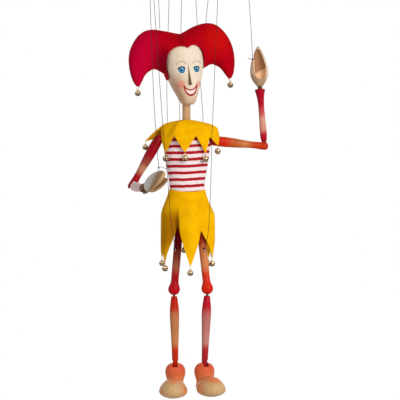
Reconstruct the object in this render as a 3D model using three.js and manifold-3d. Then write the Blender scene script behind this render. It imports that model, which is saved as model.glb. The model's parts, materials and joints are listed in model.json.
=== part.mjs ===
// A wooden jester marionette: turned and carved limbs on pinned tabs, a leather hat, collar and skirt,
// jingle bells, and nine strings. Millimetres, +Z up. The figure faces -Y, and +X is its left-hand side.
// Heights are taken from the ground that the hanging shoes just clear. The origin is where the strings are held.

import * as THREE from "three";
import { mergeVertices } from "three/addons/utils/BufferGeometryUtils.js";
import Module from "manifold-3d";

const wasm = await Module();
wasm.setup();

// Clearances
const seatGap = 0.35;
const runningGap = 0.4;

// Overall heights
const holdHeight = 660;
const waistHeight = 335;
const hipHeight = 292;

// Torso: half width and half depth
const chestHalfWidth = 37;
const chestHalfDepth = 23.5;
const waistHalfWidth = 27.5;
const waistHalfDepth = 19;
const shoulderHeight = 414;
const rightShoulderX = -47;
const leftShoulderX = 43;
const neckRise = 60;
const neckTop = shoulderHeight + neckRise;

// Arms
const upperArmLength = 84;
const upperArmRadius = 8.1;
const upperArmWaist = 5.4;
const armEndRadius = 6.5;
const forearmLength = 87;
const forearmRadius = 5.6;
const cuffRadius = 8.2;
const handLength = 66;
const handHalfWidth = 15;
const handHalfDepth = 11;
const heelReach = 10.5;
const palmWall = 3.6;
const thumbNotch = 0.38;
const rightHandLean = -9;
const rightArmSplay = 29.8;
const leftArmDrop = 5.4;

// Legs
const thighLength = 116;
const thighRadius = 6;
const thighHeadRadius = 8;
const thighHeadWidth = 12;
const kneeRadius = 9.4;
const shinLength = 131;
const shinRadius = 7.5;
const shinEndRadius = 5;
const rightThighLean = 4.9;
const leftThighLean = -4.4;
const leftLegSwing = 11;
const hipCentreX = 4.5;
const hipSpacing = 31;
const axleRadius = 1.7;

// Shoes
const ankleHeight = 36;
const ankleRadius = 15.3;
const shoeLength = 82;
const toeHalfWidth = 22;
const toeHeight = 30;
const ankleSlot = 8.4;
const rightToeOut = -14;
const leftToeOut = 6;

// Pinned tabs
const tabThickness = 2.6;
const tabWidth = 7;
const tabDepth = 6.5;
const pinRadius = 1.2;

// Head and neck
const neckRadius = 6.5;
const neckX = -1;
const headHalfWidth = 28;
const headHalfDepth = 29;
const headHeight = 112;
const headYaw = 3;
const faceX = 2.5;
const headRoll = 6;
const noseLength = 36;
const noseReach = 8;
const neckSocketRadius = 8.6;

// Leather
const leather = 1.6;
const collarRise = 33;
const collarTop = shoulderHeight + collarRise;
const hatReach = 86;
const hatEdge = 40;
const collarHalfDepth = 29;
const collarTipAzimuths = [-10, 35, 57, 134, 173, 215, 242, 305];
const collarTipReaches = [46, 46, 57, 49, 46, 46, 75, 46];
const collarTipDrops = [53, 54, 41, 50, 53, 53, 34, 53];
const collarNotchAzimuths = [12.5, 46, 88, 153, 194, 228, 281, 327.5];
const collarNotchReaches = [46, 46, 50, 46, 46, 47, 52, 46];
const collarNotchDrops = [26, 27, 16, 26, 26, 25, 23, 26];
const skirtHalfWidth = 42.5;
const skirtHalfDepth = 30;
const skirtTipDrops = [79, 65, 66, 45, 65, 72];
const skirtNotchDrops = [21, 13, 15, 15, 13, 9];
const skirtPoints = skirtTipDrops.length;
const collarPoints = collarTipAzimuths.length;
const foldDepth = 2.2;

// Bells
const bellRadius = 4.9;
const bellWall = 0.7;
const bellSlit = 1.3;
const bellLoopRadius = 2.1;
const bellWire = 0.5;

// Strings
const stringRadius = 0.6;
const stringTop = 656;
const stringLoopRadius = 3.2;
const stringStep = 20;
const knotRadius = 1.7;
const tailReach = 6;

const paint = {
  crimson: 0xa01822,
  orange: 0xd9472b,
  wood: 0xd9b287,
  face: 0xf0d9ba,
  white: 0xf3efe9,
  red: 0xc8102e,
  yellow: 0xf5b800,
  brass: 0xb08d57,
  steel: 0x8d8d8d,
  hide: 0x5a3a26,
  thread: 0x3c3a38,
};

function finish(colour, roughness, metalness = 0) {
  return new THREE.MeshStandardMaterial({ color: colour, roughness, metalness });
}

// Solids

function shared(geometry) {
  const bare = geometry.clone();
  bare.deleteAttribute("normal");
  bare.deleteAttribute("uv");
  return mergeVertices(bare, 1e-4);
}

function solidOf(geometry) {
  const merged = shared(geometry);
  return new wasm.Manifold(
    new wasm.Mesh({
      numProp: 3,
      vertProperties: new Float32Array(merged.attributes.position.array),
      triVerts: new Uint32Array(merged.index.array),
    }),
  );
}

function geometryOf(solid) {
  const mesh = solid.getMesh();
  const geometry = new THREE.BufferGeometry();
  geometry.setAttribute("position", new THREE.BufferAttribute(mesh.vertProperties, 3));
  geometry.setIndex(new THREE.BufferAttribute(mesh.triVerts, 1));
  return geometry;
}

function united(...geometries) {
  return geometryOf(geometries.map(solidOf).reduce((whole, next) => whole.add(next)));
}

function without(body, ...cutters) {
  return geometryOf(cutters.map(solidOf).reduce((whole, next) => whole.subtract(next), solidOf(body)));
}

function common(first, second) {
  return geometryOf(solidOf(first).intersect(solidOf(second)));
}

// Turns a closed surface so that its faces point out.
function facingOut(geometry) {
  const at = geometry.attributes.position;
  const index = geometry.index.array;
  const a = new THREE.Vector3();
  const b = new THREE.Vector3();
  const c = new THREE.Vector3();
  let volume = 0;
  for (let i = 0; i < index.length; i += 3) {
    a.fromBufferAttribute(at, index[i]);
    b.fromBufferAttribute(at, index[i + 1]);
    c.fromBufferAttribute(at, index[i + 2]);
    volume += a.dot(b.cross(c));
  }
  if (volume < 0) {
    for (let i = 0; i < index.length; i += 3) {
      [index[i], index[i + 1]] = [index[i + 1], index[i]];
    }
  }
  return geometry;
}

// A closed skin over a stack of rings with equal point counts, closed at both ends on a middle point.
function skin(rings) {
  const sides = rings[0].length;
  const points = rings.flat();
  const faces = [];
  for (let i = 0; i < rings.length - 1; i++) {
    for (let j = 0; j < sides; j++) {
      const next = (j + 1) % sides;
      const low = i * sides;
      const high = low + sides;
      faces.push(low + j, low + next, high + next);
      faces.push(low + j, high + next, high + j);
    }
  }
  const ends = [
    [rings[0], 0],
    [rings.at(-1), (rings.length - 1) * sides],
  ];
  ends.forEach(([ring, start], end) => {
    const middle = new THREE.Vector3();
    ring.forEach((p) => middle.addScaledVector(p, 1 / sides));
    const centre = points.push(middle) - 1;
    for (let j = 0; j < sides; j++) {
      const here = start + j;
      const next = start + ((j + 1) % sides);
      faces.push(centre, end ? here : next, end ? next : here);
    }
  });
  const geometry = new THREE.BufferGeometry().setFromPoints(points);
  geometry.setIndex(faces);
  return facingOut(geometry);
}

// A ring round +Z at one height, an ellipse that grows squarer as power rises above 2.
function ringAt(z, halfX, halfY, { x = 0, y = 0, sides = 24, power = 2 } = {}) {
  return Array.from({ length: sides }, (_, j) => {
    const turn = (2 * Math.PI * j) / sides;
    const side = Math.cos(turn);
    const front = Math.sin(turn);
    const px = Math.sign(side) * Math.abs(side) ** (2 / power) * halfX;
    const py = Math.sign(front) * Math.abs(front) ** (2 / power) * halfY;
    return new THREE.Vector3(x + px, y + py, z);
  });
}

// A turned piece round Z. The profile runs from top to bottom as pairs of radius and height.
function turned(profile, sides = 12) {
  const points = [...profile].reverse().map(([r, z]) => new THREE.Vector2(r, z));
  const geometry = shared(new THREE.LatheGeometry(points, sides)).rotateX(Math.PI / 2);
  return facingOut(geometry);
}

function discX(radius, width, sides = 12) {
  return new THREE.CylinderGeometry(radius, radius, width, sides).rotateZ(Math.PI / 2);
}

function pinX(radius, length, sides = 6) {
  return discX(radius, length, sides);
}

function blockAt(sizeX, sizeY, sizeZ, x, y, z) {
  return new THREE.BoxGeometry(sizeX, sizeY, sizeZ).translate(x, y, z);
}

function ball(radius, wide = 16, high = 10) {
  return new THREE.SphereGeometry(radius, wide, high).rotateX(Math.PI / 2);
}

// A tube of eight sides through hand-chosen points.
function tube(points, radius, steps) {
  const path = new THREE.CatmullRomCurve3(points, false, "centripetal");
  const corners = Array.from({ length: 8 }, (_, j) => {
    const turn = (2 * Math.PI * j) / 8;
    return new THREE.Vector2(radius * Math.cos(turn), radius * Math.sin(turn));
  });
  const section = new THREE.Shape(corners);
  return new THREE.ExtrudeGeometry(section, { steps, extrudePath: path, bevelEnabled: false });
}

function meshOf(name, geometry, material) {
  const mesh = new THREE.Mesh(geometry.index ? geometry.toNonIndexed() : geometry, material);
  mesh.geometry.computeVertexNormals();
  mesh.name = name;
  return mesh;
}

function placed(parent, x = 0, y = 0, z = 0) {
  const group = new THREE.Group();
  group.position.set(x, y, z);
  parent.add(group);
  return group;
}

const degrees = THREE.MathUtils.degToRad;

// Pinned joints. A limb hangs down its own -Z from its pivot, and its hinge is its own X axis.

function forkCuts(endRadius, z) {
  const slot = discX(endRadius + 4, tabThickness + 2 * runningGap).translate(0, 0, z);
  const hole = pinX(pinRadius + runningGap, 6 * endRadius, 8).translate(0, 0, z);
  return [slot, hole];
}

function mortise(start) {
  const depth = tabDepth + seatGap;
  return blockAt(tabThickness + 2 * seatGap, tabWidth + 2 * seatGap, depth + 10, 0, 0, -start - depth / 2 + 5);
}

// The tab from a pivot down into the mortise of the piece that hangs on it.
function tabBelow(start, pinLength, eyeRadius) {
  const eye = discX(eyeRadius, tabThickness, 12);
  const reach = start + tabDepth;
  const strap = blockAt(tabThickness, tabWidth, reach, 0, 0, -reach / 2);
  return united(eye, strap, pinX(pinRadius, pinLength));
}

// Wooden limbs

function upperArm(shoulderPinTurn) {
  const end = upperArmLength + armEndRadius;
  const body = turned([
    [0, armEndRadius + 0.3],
    [4.6, 4.6],
    [armEndRadius, 0],
    [upperArmRadius - 0.5, -9],
    [upperArmRadius, -18],
    [7, -38],
    [upperArmWaist, -62],
    [armEndRadius, -upperArmLength],
    [4.6, -end + 1.8],
    [0, -end],
  ]);
  const shoulderCuts = forkCuts(armEndRadius, 0).map((cutter) => cutter.rotateZ(degrees(shoulderPinTurn)));
  return without(body, ...shoulderCuts, ...forkCuts(armEndRadius, -upperArmLength));
}

const elbowStart = 7.8;

function forearm(lean) {
  const cuffEnd = forearmLength + 5;
  const body = turned([
    [0, -elbowStart],
    [4.4, -elbowStart],
    [5.2, -12],
    [forearmRadius, -22],
    [5.3, -38],
    [4.7, -56],
    [5, -72],
    [6.9, -forearmLength],
    [cuffRadius, -cuffEnd + 1.5],
    [cuffRadius - 0.6, -cuffEnd],
    [0, -cuffEnd],
  ]);
  body.rotateY(degrees(lean));
  const wrist = wristAt(lean);
  const slotRadius = cuffRadius + 2.4;
  const slot = discX(slotRadius, tabThickness + 2 * runningGap).translate(wrist.x, 0, wrist.z);
  const hole = pinX(pinRadius + runningGap, 5 * cuffRadius, 8).translate(wrist.x, 0, wrist.z);
  return without(body, mortise(elbowStart), slot, hole);
}

function wristAt(lean) {
  return new THREE.Vector3(0, 0, -forearmLength).applyAxisAngle(new THREE.Vector3(0, 1, 0), degrees(lean));
}

// A mitten with a hollow palm: palm is the side of X it opens to, thumb the side of Y, lean its cant at the wrist.
function hand(palm, thumb, lean) {
  const tip = heelReach + handLength;
  const shape = [
    [heelReach, 0.25, 0.32],
    [heelReach + 4, 0.46, 0.52],
    [heelReach + 12, 0.84, 0.86],
    [heelReach + 22, 1, 1],
    [heelReach + 33, 0.93, 0.95],
    [heelReach + 44, 0.72, 0.82],
    [heelReach + 55, 0.44, 0.6],
    [tip - 4, 0.22, 0.34],
    [tip, 0.06, 0.1],
  ];
  const body = skin(
    shape.map(([z, wide, deep]) => ringAt(-z, deep * handHalfDepth, wide * handHalfWidth, { sides: 16 })),
  );
  const hollow = skin(
    shape.slice(2, -1).map(([z, wide, deep]) =>
      ringAt(-z - 2, deep * handHalfDepth, Math.max(wide * handHalfWidth - palmWall, 1), {
        x: palm * palmWall,
        sides: 12,
      }),
    ),
  );
  const notchLength = handLength * thumbNotch;
  const notch = blockAt(
    4 * handHalfDepth,
    handHalfWidth,
    notchLength + 4,
    0,
    thumb * handHalfWidth,
    -tip + notchLength / 2 - 2,
  );
  const heel = heelReach + 3;
  const carved = without(body, hollow, notch);
  carved.translate(0, 0, heel).rotateY(degrees(lean)).translate(0, 0, -heel);
  return without(carved, mortise(heelReach));
}

const shinStart = 11.6;
const kneeEye = 4.2;

function thigh(lean) {
  const bone = turned([
    [0, 0],
    [thighRadius - 0.4, -1],
    [thighRadius, -20],
    [thighRadius - 0.3, -60],
    [5.4, -85],
    [5.2, -thighLength + 12],
    [7.4, -thighLength + 6],
    [kneeRadius, -thighLength],
    [7.8, -thighLength - 5.2],
    [4, -thighLength - 8.5],
    [0, -thighLength - kneeRadius],
  ]);
  bone.rotateY(degrees(lean));
  const head = discX(thighHeadRadius, thighHeadWidth, 14);
  const bore = pinX(axleRadius + runningGap, 2 * thighHeadWidth, 12);
  const knee = kneeAt(lean);
  const slotWidth = tabThickness + 2 * runningGap;
  const front = tabWidth / 2 + 1;
  const cuts = [
    blockAt(slotWidth, front + 30, 5 * kneeRadius, 0, 15 - front / 2, kneeEye + 1 - 2.5 * kneeRadius),
    pinX(pinRadius + runningGap, 6 * kneeRadius, 8),
  ].map((cutter) => cutter.translate(knee.x, 0, knee.z));
  return without(united(bone, head), bore, ...cuts);
}

function kneeAt(lean) {
  return new THREE.Vector3(0, 0, -thighLength).applyAxisAngle(new THREE.Vector3(0, 1, 0), degrees(lean));
}

function shin(lean, twist) {
  const bone = turned([
    [0, -shinStart],
    [4.5, -shinStart],
    [5.4, -18],
    [7, -28],
    [shinRadius, -38],
    [6.9, -58],
    [6, -80],
    [5.2, -100],
    [shinEndRadius, -shinLength],
    [shinEndRadius - 1, -shinLength - 4],
    [0, -shinLength - 5],
  ]);
  bone.rotateY(degrees(lean));
  const ankle = ankleAt(lean);
  const flat = blockAt(ankleSlot - 2 * runningGap, 60, 26, 0, 0, 5);
  const upper = blockAt(60, 60, shinLength, 0, 0, shinLength / 2 + 18);
  const keep = united(flat, upper).rotateZ(degrees(twist)).translate(ankle.x, 0, ankle.z);
  const hole = pinX(axleRadius + runningGap, 60, 8).rotateZ(degrees(twist)).translate(ankle.x, 0, ankle.z);
  return without(common(bone, keep), hole, mortise(shinStart));
}

function ankleAt(lean) {
  return new THREE.Vector3(0, 0, -shinLength).applyAxisAngle(new THREE.Vector3(0, 1, 0), degrees(lean));
}

// A shoe below its ankle pivot, its toe towards -Y.
function shoe() {
  const heel = shoeLength * 0.2;
  const sole = -ankleHeight;
  const stations = [
    [heel, 0.3, 0.4],
    [heel - 4, 0.5, 0.62],
    [heel - 16, 0.6, 0.7],
    [heel - 30, 0.74, 0.84],
    [heel - 44, 0.94, 1],
    [heel - 56, 1, 1],
    [heel - 68, 0.86, 0.86],
    [heel - 77, 0.58, 0.6],
    [heel - shoeLength, 0.2, 0.25],
  ];
  const sides = 14;
  const keel = 0.36;
  const rings = stations.map(([y, wide, tall]) =>
    Array.from({ length: sides }, (_, j) => {
      const turn = (2 * Math.PI * j) / sides;
      const up = Math.sin(turn);
      const rise = up > 0 ? up * tall * (1 - keel) : up * keel * Math.min(1, tall + 0.2);
      return new THREE.Vector3(Math.cos(turn) * toeHalfWidth * wide, y, sole + toeHeight * (keel + rise));
    }),
  );
  const foot = skin(rings);
  const upper = turned(
    [
      [0, ankleRadius * 0.9],
      [ankleRadius * 0.5, ankleRadius * 0.83],
      [ankleRadius * 0.86, ankleRadius * 0.5],
      [ankleRadius, 0],
      [ankleRadius * 0.92, -7],
      [ankleRadius * 0.82, -14],
      [ankleRadius * 0.86, -ankleHeight + 9],
      [0, -ankleHeight + 9],
    ],
    16,
  );
  const socketDepth = 8;
  const slot = united(
    discX(shinEndRadius + 2.2, ankleSlot),
    blockAt(ankleSlot, 20, socketDepth + 2, 0, 0, (socketDepth + 2) / 2),
    blockAt(ankleSlot, 6 * ankleRadius, 40, 0, 0, socketDepth + 20),
  );
  const bore = pinX(axleRadius + seatGap, 4 * ankleRadius, 8);
  const clip = blockAt(200, 300, 100, 0, 0, sole + 50);
  return without(common(united(foot, upper), clip), slot, bore);
}

// Torso with its neck bore, shoulder mortises and the two slots its thighs hang in.
const hipX = [hipCentreX - hipSpacing / 2, hipCentreX + hipSpacing / 2];
const neckBottom = shoulderHeight + 12;

function torso() {
  const body = skin([
    ringAt(hipHeight - 11, 21, 13, { x: hipCentreX - 1 }),
    ringAt(hipHeight - 7, 28, 17, { x: hipCentreX - 1 }),
    ringAt((hipHeight + waistHeight) / 2 - 5, 30, 19, { x: hipCentreX - 2 }),
    ringAt(waistHeight, waistHalfWidth, waistHalfDepth),
    ringAt(waistHeight + 21, 30.2, 21),
    ringAt(shoulderHeight - 34, 34.3, 23),
    ringAt(shoulderHeight - 14, chestHalfWidth, chestHalfDepth),
    ringAt(shoulderHeight + 2, chestHalfWidth, chestHalfDepth - 2),
    ringAt(shoulderHeight + 14, 33, 18.5),
    ringAt(collarTop - 9, 24, 14.5),
    ringAt(collarTop - 4.6, 15, 11.5),
    ringAt(collarTop - 3.2, 10, 9),
  ]);
  const neckBore = new THREE.CylinderGeometry(neckRadius + runningGap, neckRadius + runningGap, 40, 20);
  neckBore.rotateX(Math.PI / 2).translate(neckX, 0, neckBottom - seatGap + 20);
  const slots = hipX.map((x) =>
    blockAt(thighHeadWidth + 2, 80, 60, x, 0, hipHeight + thighHeadRadius + 1.5 - 30),
  );
  const axle = pinX(axleRadius + seatGap, 120, 12).translate(0, 0, hipHeight);
  return without(body, neckBore, axle, ...slots, ...shoulderMortises(), ...stringHoles());
}

// Each string of the trunk runs down through the collar into a blind hole in the wood.
const trunkStrings = {
  right_shoulder: [-31, 6, shoulderHeight + 10],
  left_shoulder: [27, 6, shoulderHeight + 14],
  back: [-10, 11, shoulderHeight + 16],
};

function stringHoles() {
  return Object.values(trunkStrings).map(([x, y, z]) => {
    const hole = new THREE.CylinderGeometry(stringRadius + 2 * seatGap, stringRadius + 2 * seatGap, 60, 8);
    return hole.rotateX(Math.PI / 2).translate(x, y, z - seatGap + 30);
  });
}

function hipAxle() {
  const half = hipSpacing / 2 + 11;
  return pinX(axleRadius, 2 * half, 10).translate(hipCentreX, 0, hipHeight);
}

// The shoulder tabs lie in the plane of the chest, each with its pin along Y.
const shoulderTabInset = 8;

function shoulderMortises() {
  return [rightShoulderX, leftShoulderX].map((x) => {
    const inner = Math.sign(x) * (chestHalfWidth - shoulderTabInset - seatGap);
    const outer = Math.sign(x) * (chestHalfWidth + 20);
    return blockAt(
      Math.abs(outer - inner),
      tabThickness + 2 * seatGap,
      tabWidth + 2 * seatGap,
      (outer + inner) / 2,
      0,
      shoulderHeight,
    );
  });
}

function shoulderTab(x) {
  const inner = Math.sign(x) * (chestHalfWidth - shoulderTabInset);
  const strap = blockAt(Math.abs(x - inner), tabThickness, tabWidth, (x + inner) / 2, 0, shoulderHeight);
  const eye = discX(4.2, tabThickness, 14).rotateZ(Math.PI / 2).translate(x, 0, shoulderHeight);
  const pin = pinX(pinRadius, 2 * armEndRadius - 1.5).rotateZ(Math.PI / 2).translate(x, 0, shoulderHeight);
  return united(strap, eye, pin);
}

// Neck dowel, from its bore in the torso up to the pin inside the head.
const nodRise = 8;
const headTurn = new THREE.Quaternion().setFromEuler(
  new THREE.Euler(0, THREE.MathUtils.degToRad(-headRoll), THREE.MathUtils.degToRad(headYaw), "ZYX"),
);

function neckDowel() {
  const top = nodRise + 5;
  const body = turned(
    [
      [0, top],
      [neckRadius - 1, top],
      [neckRadius, top - 2],
      [neckRadius, neckBottom - neckTop],
      [0, neckBottom - neckTop],
    ],
    16,
  );
  const hole = pinX(axleRadius + runningGap, 40, 12).translate(0, 0, nodRise).applyQuaternion(headTurn);
  return without(body, hole);
}

// Head, in its own frame: origin at the top of the neck, face towards -Y.
const headLevels = [
  [-4, 0.2, 0.3, 0.02],
  [-2, 0.36, 0.62, 0.1],
  [3, 0.52, 0.78, 0.24],
  [12, 0.7, 0.86, 0.42],
  [24, 0.83, 0.92, 0.66],
  [38, 0.92, 0.94, 0.86],
  [54, 0.98, 0.93, 0.98],
  [70, 1.02, 0.97, 1.04],
  [84, 0.97, 0.98, 1.02],
  [96, 0.79, 0.82, 0.84],
  [105, 0.5, 0.54, 0.56],
  [110, 0.16, 0.2, 0.2],
];

function headRings(swell, sides) {
  return headLevels.map(([z, wide, front, back]) => {
    const height = z > headHeight / 2 ? z + swell : z - swell;
    return Array.from({ length: sides }, (_, j) => {
      const turn = (2 * Math.PI * j) / sides;
      const across = faceX + Math.cos(turn) * (wide * headHalfWidth + swell);
      const depth = (Math.sin(turn) < 0 ? front : back) * headHalfDepth + swell;
      return new THREE.Vector3(across, Math.sin(turn) * depth, height);
    });
  });
}

function nose() {
  const top = 64;
  const face = -headHalfDepth * 0.93;
  const tip = top - noseLength;
  const rings = [
    [top, 1.2, 0.04],
    [top - 8, 1.6, 0.22],
    [top - 20, 2.2, 0.51],
    [tip + 6, 3.4, 0.85],
    [tip + 2, 3.7, 1],
    [tip - 1, 2.6, 0.76],
  ].map(([z, half, share]) => {
    const reach = share * noseReach;
    return [
      new THREE.Vector3(half + 1, face + 5, z),
      new THREE.Vector3(half, face - reach * 0.45, z),
      new THREE.Vector3(half * 0.4, face - reach, z),
      new THREE.Vector3(-half * 0.4, face - reach, z),
      new THREE.Vector3(-half, face - reach * 0.45, z),
      new THREE.Vector3(-half - 1, face + 5, z),
    ];
  });
  return skin(rings).translate(faceX, 0, 0);
}

function head() {
  const nod = nodRise;
  const socket = new THREE.CylinderGeometry(neckSocketRadius, neckSocketRadius + 1.5, 40, 18);
  socket.rotateX(Math.PI / 2).translate(0, 0, nod + 7 - 20);
  const pinHole = pinX(axleRadius + seatGap, 32, 10).translate(faceX, 0, nod);
  return without(united(skin(headRings(0, 24)), nose()), socket, pinHole);
}

function neckPin() {
  return pinX(axleRadius, 31, 10).translate(faceX, 0, 0);
}

// Hat: a cap over the skull with two horns that curl down to their bells.
const hornPairs = [
  [0, 111, 0, 42, 30],
  [24, 118, 27, 46, 27],
  [45, 122, 41, 57, 21],
  [62, 117.5, 51, 58, 17.5],
  [76, 103, 58.5, 54, 14.5],
  [84.5, 84, 64, 48.5, 11],
  [hatReach, 61.5, 68, 42, 8],
  [82.5, 43, 71.5, 36.5, 4.2],
  [77.5, 33.5, 75, 31.5, 1.2],
];

function horn(side) {
  const sides = 14;
  const rings = hornPairs.map(([outerX, outerZ, innerX, innerZ, halfDepth]) => {
    const outer = new THREE.Vector3(side * outerX, 0, outerZ);
    const inner = new THREE.Vector3(side * innerX, 0, innerZ);
    const middle = outer.clone().add(inner).multiplyScalar(0.5);
    const half = outer.clone().sub(inner).multiplyScalar(0.5);
    return Array.from({ length: sides }, (_, j) => {
      const turn = (2 * Math.PI * j) / sides;
      const point = middle.clone().addScaledVector(half, Math.cos(turn));
      point.y += Math.sin(turn) * halfDepth;
      return point;
    });
  });
  return skin(rings);
}

function faceOpening() {
  const outline = new THREE.Shape();
  outline.moveTo(-27, -30);
  outline.lineTo(27, -30);
  outline.lineTo(27.5, 44);
  outline.bezierCurveTo(30, 60, 30, 72, 27, 80);
  outline.bezierCurveTo(23, 91, 8, 95, 0, 86.5);
  outline.bezierCurveTo(-8, 95, -23, 91, -27, 80);
  outline.bezierCurveTo(-30, 72, -30, 60, -27.5, 44);
  const prism = new THREE.ExtrudeGeometry(outline, { depth: 80, bevelEnabled: false, curveSegments: 6 });
  return prism.rotateX(Math.PI / 2).translate(faceX, -7, 0);
}

function hat() {
  const cap = skin(headRings(seatGap + leather, 20));
  const nape = blockAt(80, 200, 60, 0, 0, hatEdge - 30);
  const skull = skin(headRings(seatGap, 24));
  return without(united(cap, horn(1), horn(-1)), nape, skull, faceOpening());
}

// Leather that hangs in dagged points: position gives the outer face at a column and a share of the drop.
function daggedLeather(columns, rows, position) {
  const outer = [];
  for (let i = 0; i <= rows; i++) {
    outer.push(Array.from({ length: columns }, (_, j) => position(j, i / rows)));
  }
  const inner = outer.map((row, i) =>
    row.map((point, j) => {
      const along = row[(j + 1) % columns].clone().sub(row[(j + columns - 1) % columns]);
      const above = outer[Math.max(i - 1, 0)][j];
      const below = outer[Math.min(i + 1, rows)][j];
      const normal = along.cross(below.clone().sub(above)).normalize();
      return point.clone().addScaledVector(normal, leather);
    }),
  );
  const loop = [...outer, ...inner.reverse()];
  const points = loop.flat();
  const faces = [];
  for (let i = 0; i < loop.length; i++) {
    const here = i * columns;
    const there = ((i + 1) % loop.length) * columns;
    for (let j = 0; j < columns; j++) {
      const next = (j + 1) % columns;
      faces.push(here + j, here + next, there + next);
      faces.push(here + j, there + next, there + j);
    }
  }
  const geometry = new THREE.BufferGeometry().setFromPoints(points);
  geometry.setIndex(faces);
  return facingOut(geometry);
}

// How far down a point of the hem reaches: 0 at a notch, 1 at a tip.
function dag(azimuth, points) {
  const phase = ((azimuth * points) / (2 * Math.PI)) % 1;
  const wrapped = Math.abs(((phase + 1.5) % 1) - 0.5);
  return 1 - 2 * wrapped;
}

// Azimuth 0 faces the front and a quarter turn faces +X.
function skirtPoint(azimuth, share) {
  const reach = dag(azimuth, skirtPoints);
  const turn = (azimuth * skirtPoints) / (2 * Math.PI);
  const tip = skirtTipDrops[Math.round(turn) % skirtPoints];
  const notch = skirtNotchDrops[Math.floor(turn) % skirtPoints];
  const hem = hipHeight - THREE.MathUtils.lerp(notch, tip, reach);
  const z = THREE.MathUtils.lerp(waistHeight + 1, hem, share);
  const hip = THREE.MathUtils.smoothstep(waistHeight - z, -3, 42);
  const fold = foldDepth * Math.cos(azimuth * skirtPoints) * THREE.MathUtils.smoothstep(waistHeight - z, 5, 60);
  const halfX = THREE.MathUtils.lerp(waistHalfWidth + leather + seatGap, skirtHalfWidth, hip) + fold;
  const halfY = THREE.MathUtils.lerp(waistHalfDepth + leather + seatGap, skirtHalfDepth, hip) + fold;
  return new THREE.Vector3(halfX * Math.sin(azimuth), -halfY * Math.cos(azimuth), z);
}

function skirt() {
  const columns = 8 * skirtPoints;
  return daggedLeather(columns, 5, (column, share) => skirtPoint((2 * Math.PI * column) / columns, share));
}

// The collar's turn is counted in points: a whole number is a tip, and a half is the notch after it.
function collarPoint(turn, share) {
  const before = Math.floor(turn);
  const between = turn - before;
  const rising = between > 0.5;
  const tip = (rising ? before + 1 : before) % collarPoints;
  const notch = before % collarPoints;
  const reach = Math.abs(2 * between - 1);
  const wrap = rising && before + 1 === collarPoints ? 360 : 0;
  const azimuth = degrees(THREE.MathUtils.lerp(collarNotchAzimuths[notch], collarTipAzimuths[tip] + wrap, reach));
  const halfX = THREE.MathUtils.lerp(collarNotchReaches[notch], collarTipReaches[tip], reach);
  const hem = collarTop - THREE.MathUtils.lerp(collarNotchDrops[notch], collarTipDrops[tip], reach);
  const across = Math.sin(azimuth);
  const ahead = -Math.cos(azimuth);
  const neck = neckRadius + leather + 0.8;
  const start = new THREE.Vector3(neckX + neck * across, neck * ahead, collarTop);
  const bend = new THREE.Vector3(44 * across, collarHalfDepth * ahead, collarTop - 5);
  const end = new THREE.Vector3(halfX * across, collarHalfDepth * ahead, hem);
  return new THREE.QuadraticBezierCurve3(start, bend, end).getPoint(share);
}

function collar() {
  const columns = 7 * collarPoints;
  const leatherBody = daggedLeather(columns, 4, (column, share) => collarPoint((column * collarPoints) / columns, share));
  return without(leatherBody, ...stringHoles());
}

// A jingle bell below its pivot: a thin ball with a slit across its foot, and a wire loop on top.
const bellDrop = bellRadius + 2 * bellLoopRadius - bellWire;

function bell() {
  const shell = ball(bellRadius, 8, 6);
  const hollow = ball(bellRadius - bellWall, 6, 4);
  const slit = blockAt(2 * bellRadius + 2, bellSlit, bellRadius, 0, 0, -bellRadius / 2 - 0.6);
  const eye = new THREE.TorusGeometry(bellLoopRadius - bellWire, bellWire, 4, 7).rotateY(Math.PI / 2);
  eye.translate(0, 0, bellRadius + bellLoopRadius - bellWire);
  return without(united(without(shell, hollow), eye), slit).translate(0, 0, -bellDrop);
}

// Strings. Each route leads on from its foot to the top, in figure millimetres.
const routes = {
  right_hand: [
    [-69, -116, 450],
    [-72.5, -109, 550],
    [-74.7, -100, stringTop],
  ],
  left_hand: [
    [104.3, -3, 590],
    [99.5, -4, stringTop],
  ],
  right_leg: [
    [-25, -33, 270],
    [-30, -39, 300],
    [-37.7, -48, 350],
    [-47.6, -58, 432],
    [-67, -80, stringTop],
  ],
  left_leg: [
    [25.5, -38, 270],
    [28, -42, 300],
    [30, -45, 350],
    [32.6, -47, 432],
    [39.3, -62, stringTop],
  ],
  right_head: [
    [-45.8, -5, 620],
    [-48, -5, stringTop],
  ],
  left_head: [
    [33.4, 4, 625],
    [36.9, 4, stringTop],
  ],
  right_shoulder: [
    [-31, 6, 446],
    [-31, 6, 454],
    [-28, 30, 500],
    [-24, 50, 560],
    [-18.5, 66, stringTop],
  ],
  left_shoulder: [
    [27, 6, 446],
    [27, 6, 454],
    [28, 30, 500],
    [28, 50, 560],
    [25.5, 66, stringTop],
  ],
  back: [
    [-10, 11, 448],
    [-10, 11, 455],
    [-6, 36, 500],
    [-2, 54, 560],
    [2.5, 68, stringTop],
  ],
};

// A string from its foot to the loop that it is tied in at the top.
function stringTube(route, foot, start = 0) {
  const onward = routes[route].map(([x, y, z]) => new THREE.Vector3(x, y, z).sub(foot));
  const points = [onward[0].clone().setLength(start), ...onward];
  const length = points.slice(1).reduce((sum, p, i) => sum + p.distanceTo(points[i]), 0);
  const steps = Math.max(4, Math.round(length / stringStep));
  const loop = new THREE.TorusGeometry(stringLoopRadius, stringRadius, 5, 8).rotateX(Math.PI / 2);
  const top = points.at(-1);
  loop.translate(top.x, top.y, top.z + stringLoopRadius);
  return united(tube(points, stringRadius, steps), loop);
}

// The figure

const wood = {
  arms: finish(paint.crimson, 0.35),
  legs: finish(paint.orange, 0.35),
  hands: finish(paint.face, 0.45),
  shoes: finish(paint.orange, 0.35),
  head: finish(paint.face, 0.4),
  torso: finish(paint.white, 0.45),
};
const figure = new THREE.Group();
figure.position.z = -holdHeight;

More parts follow.
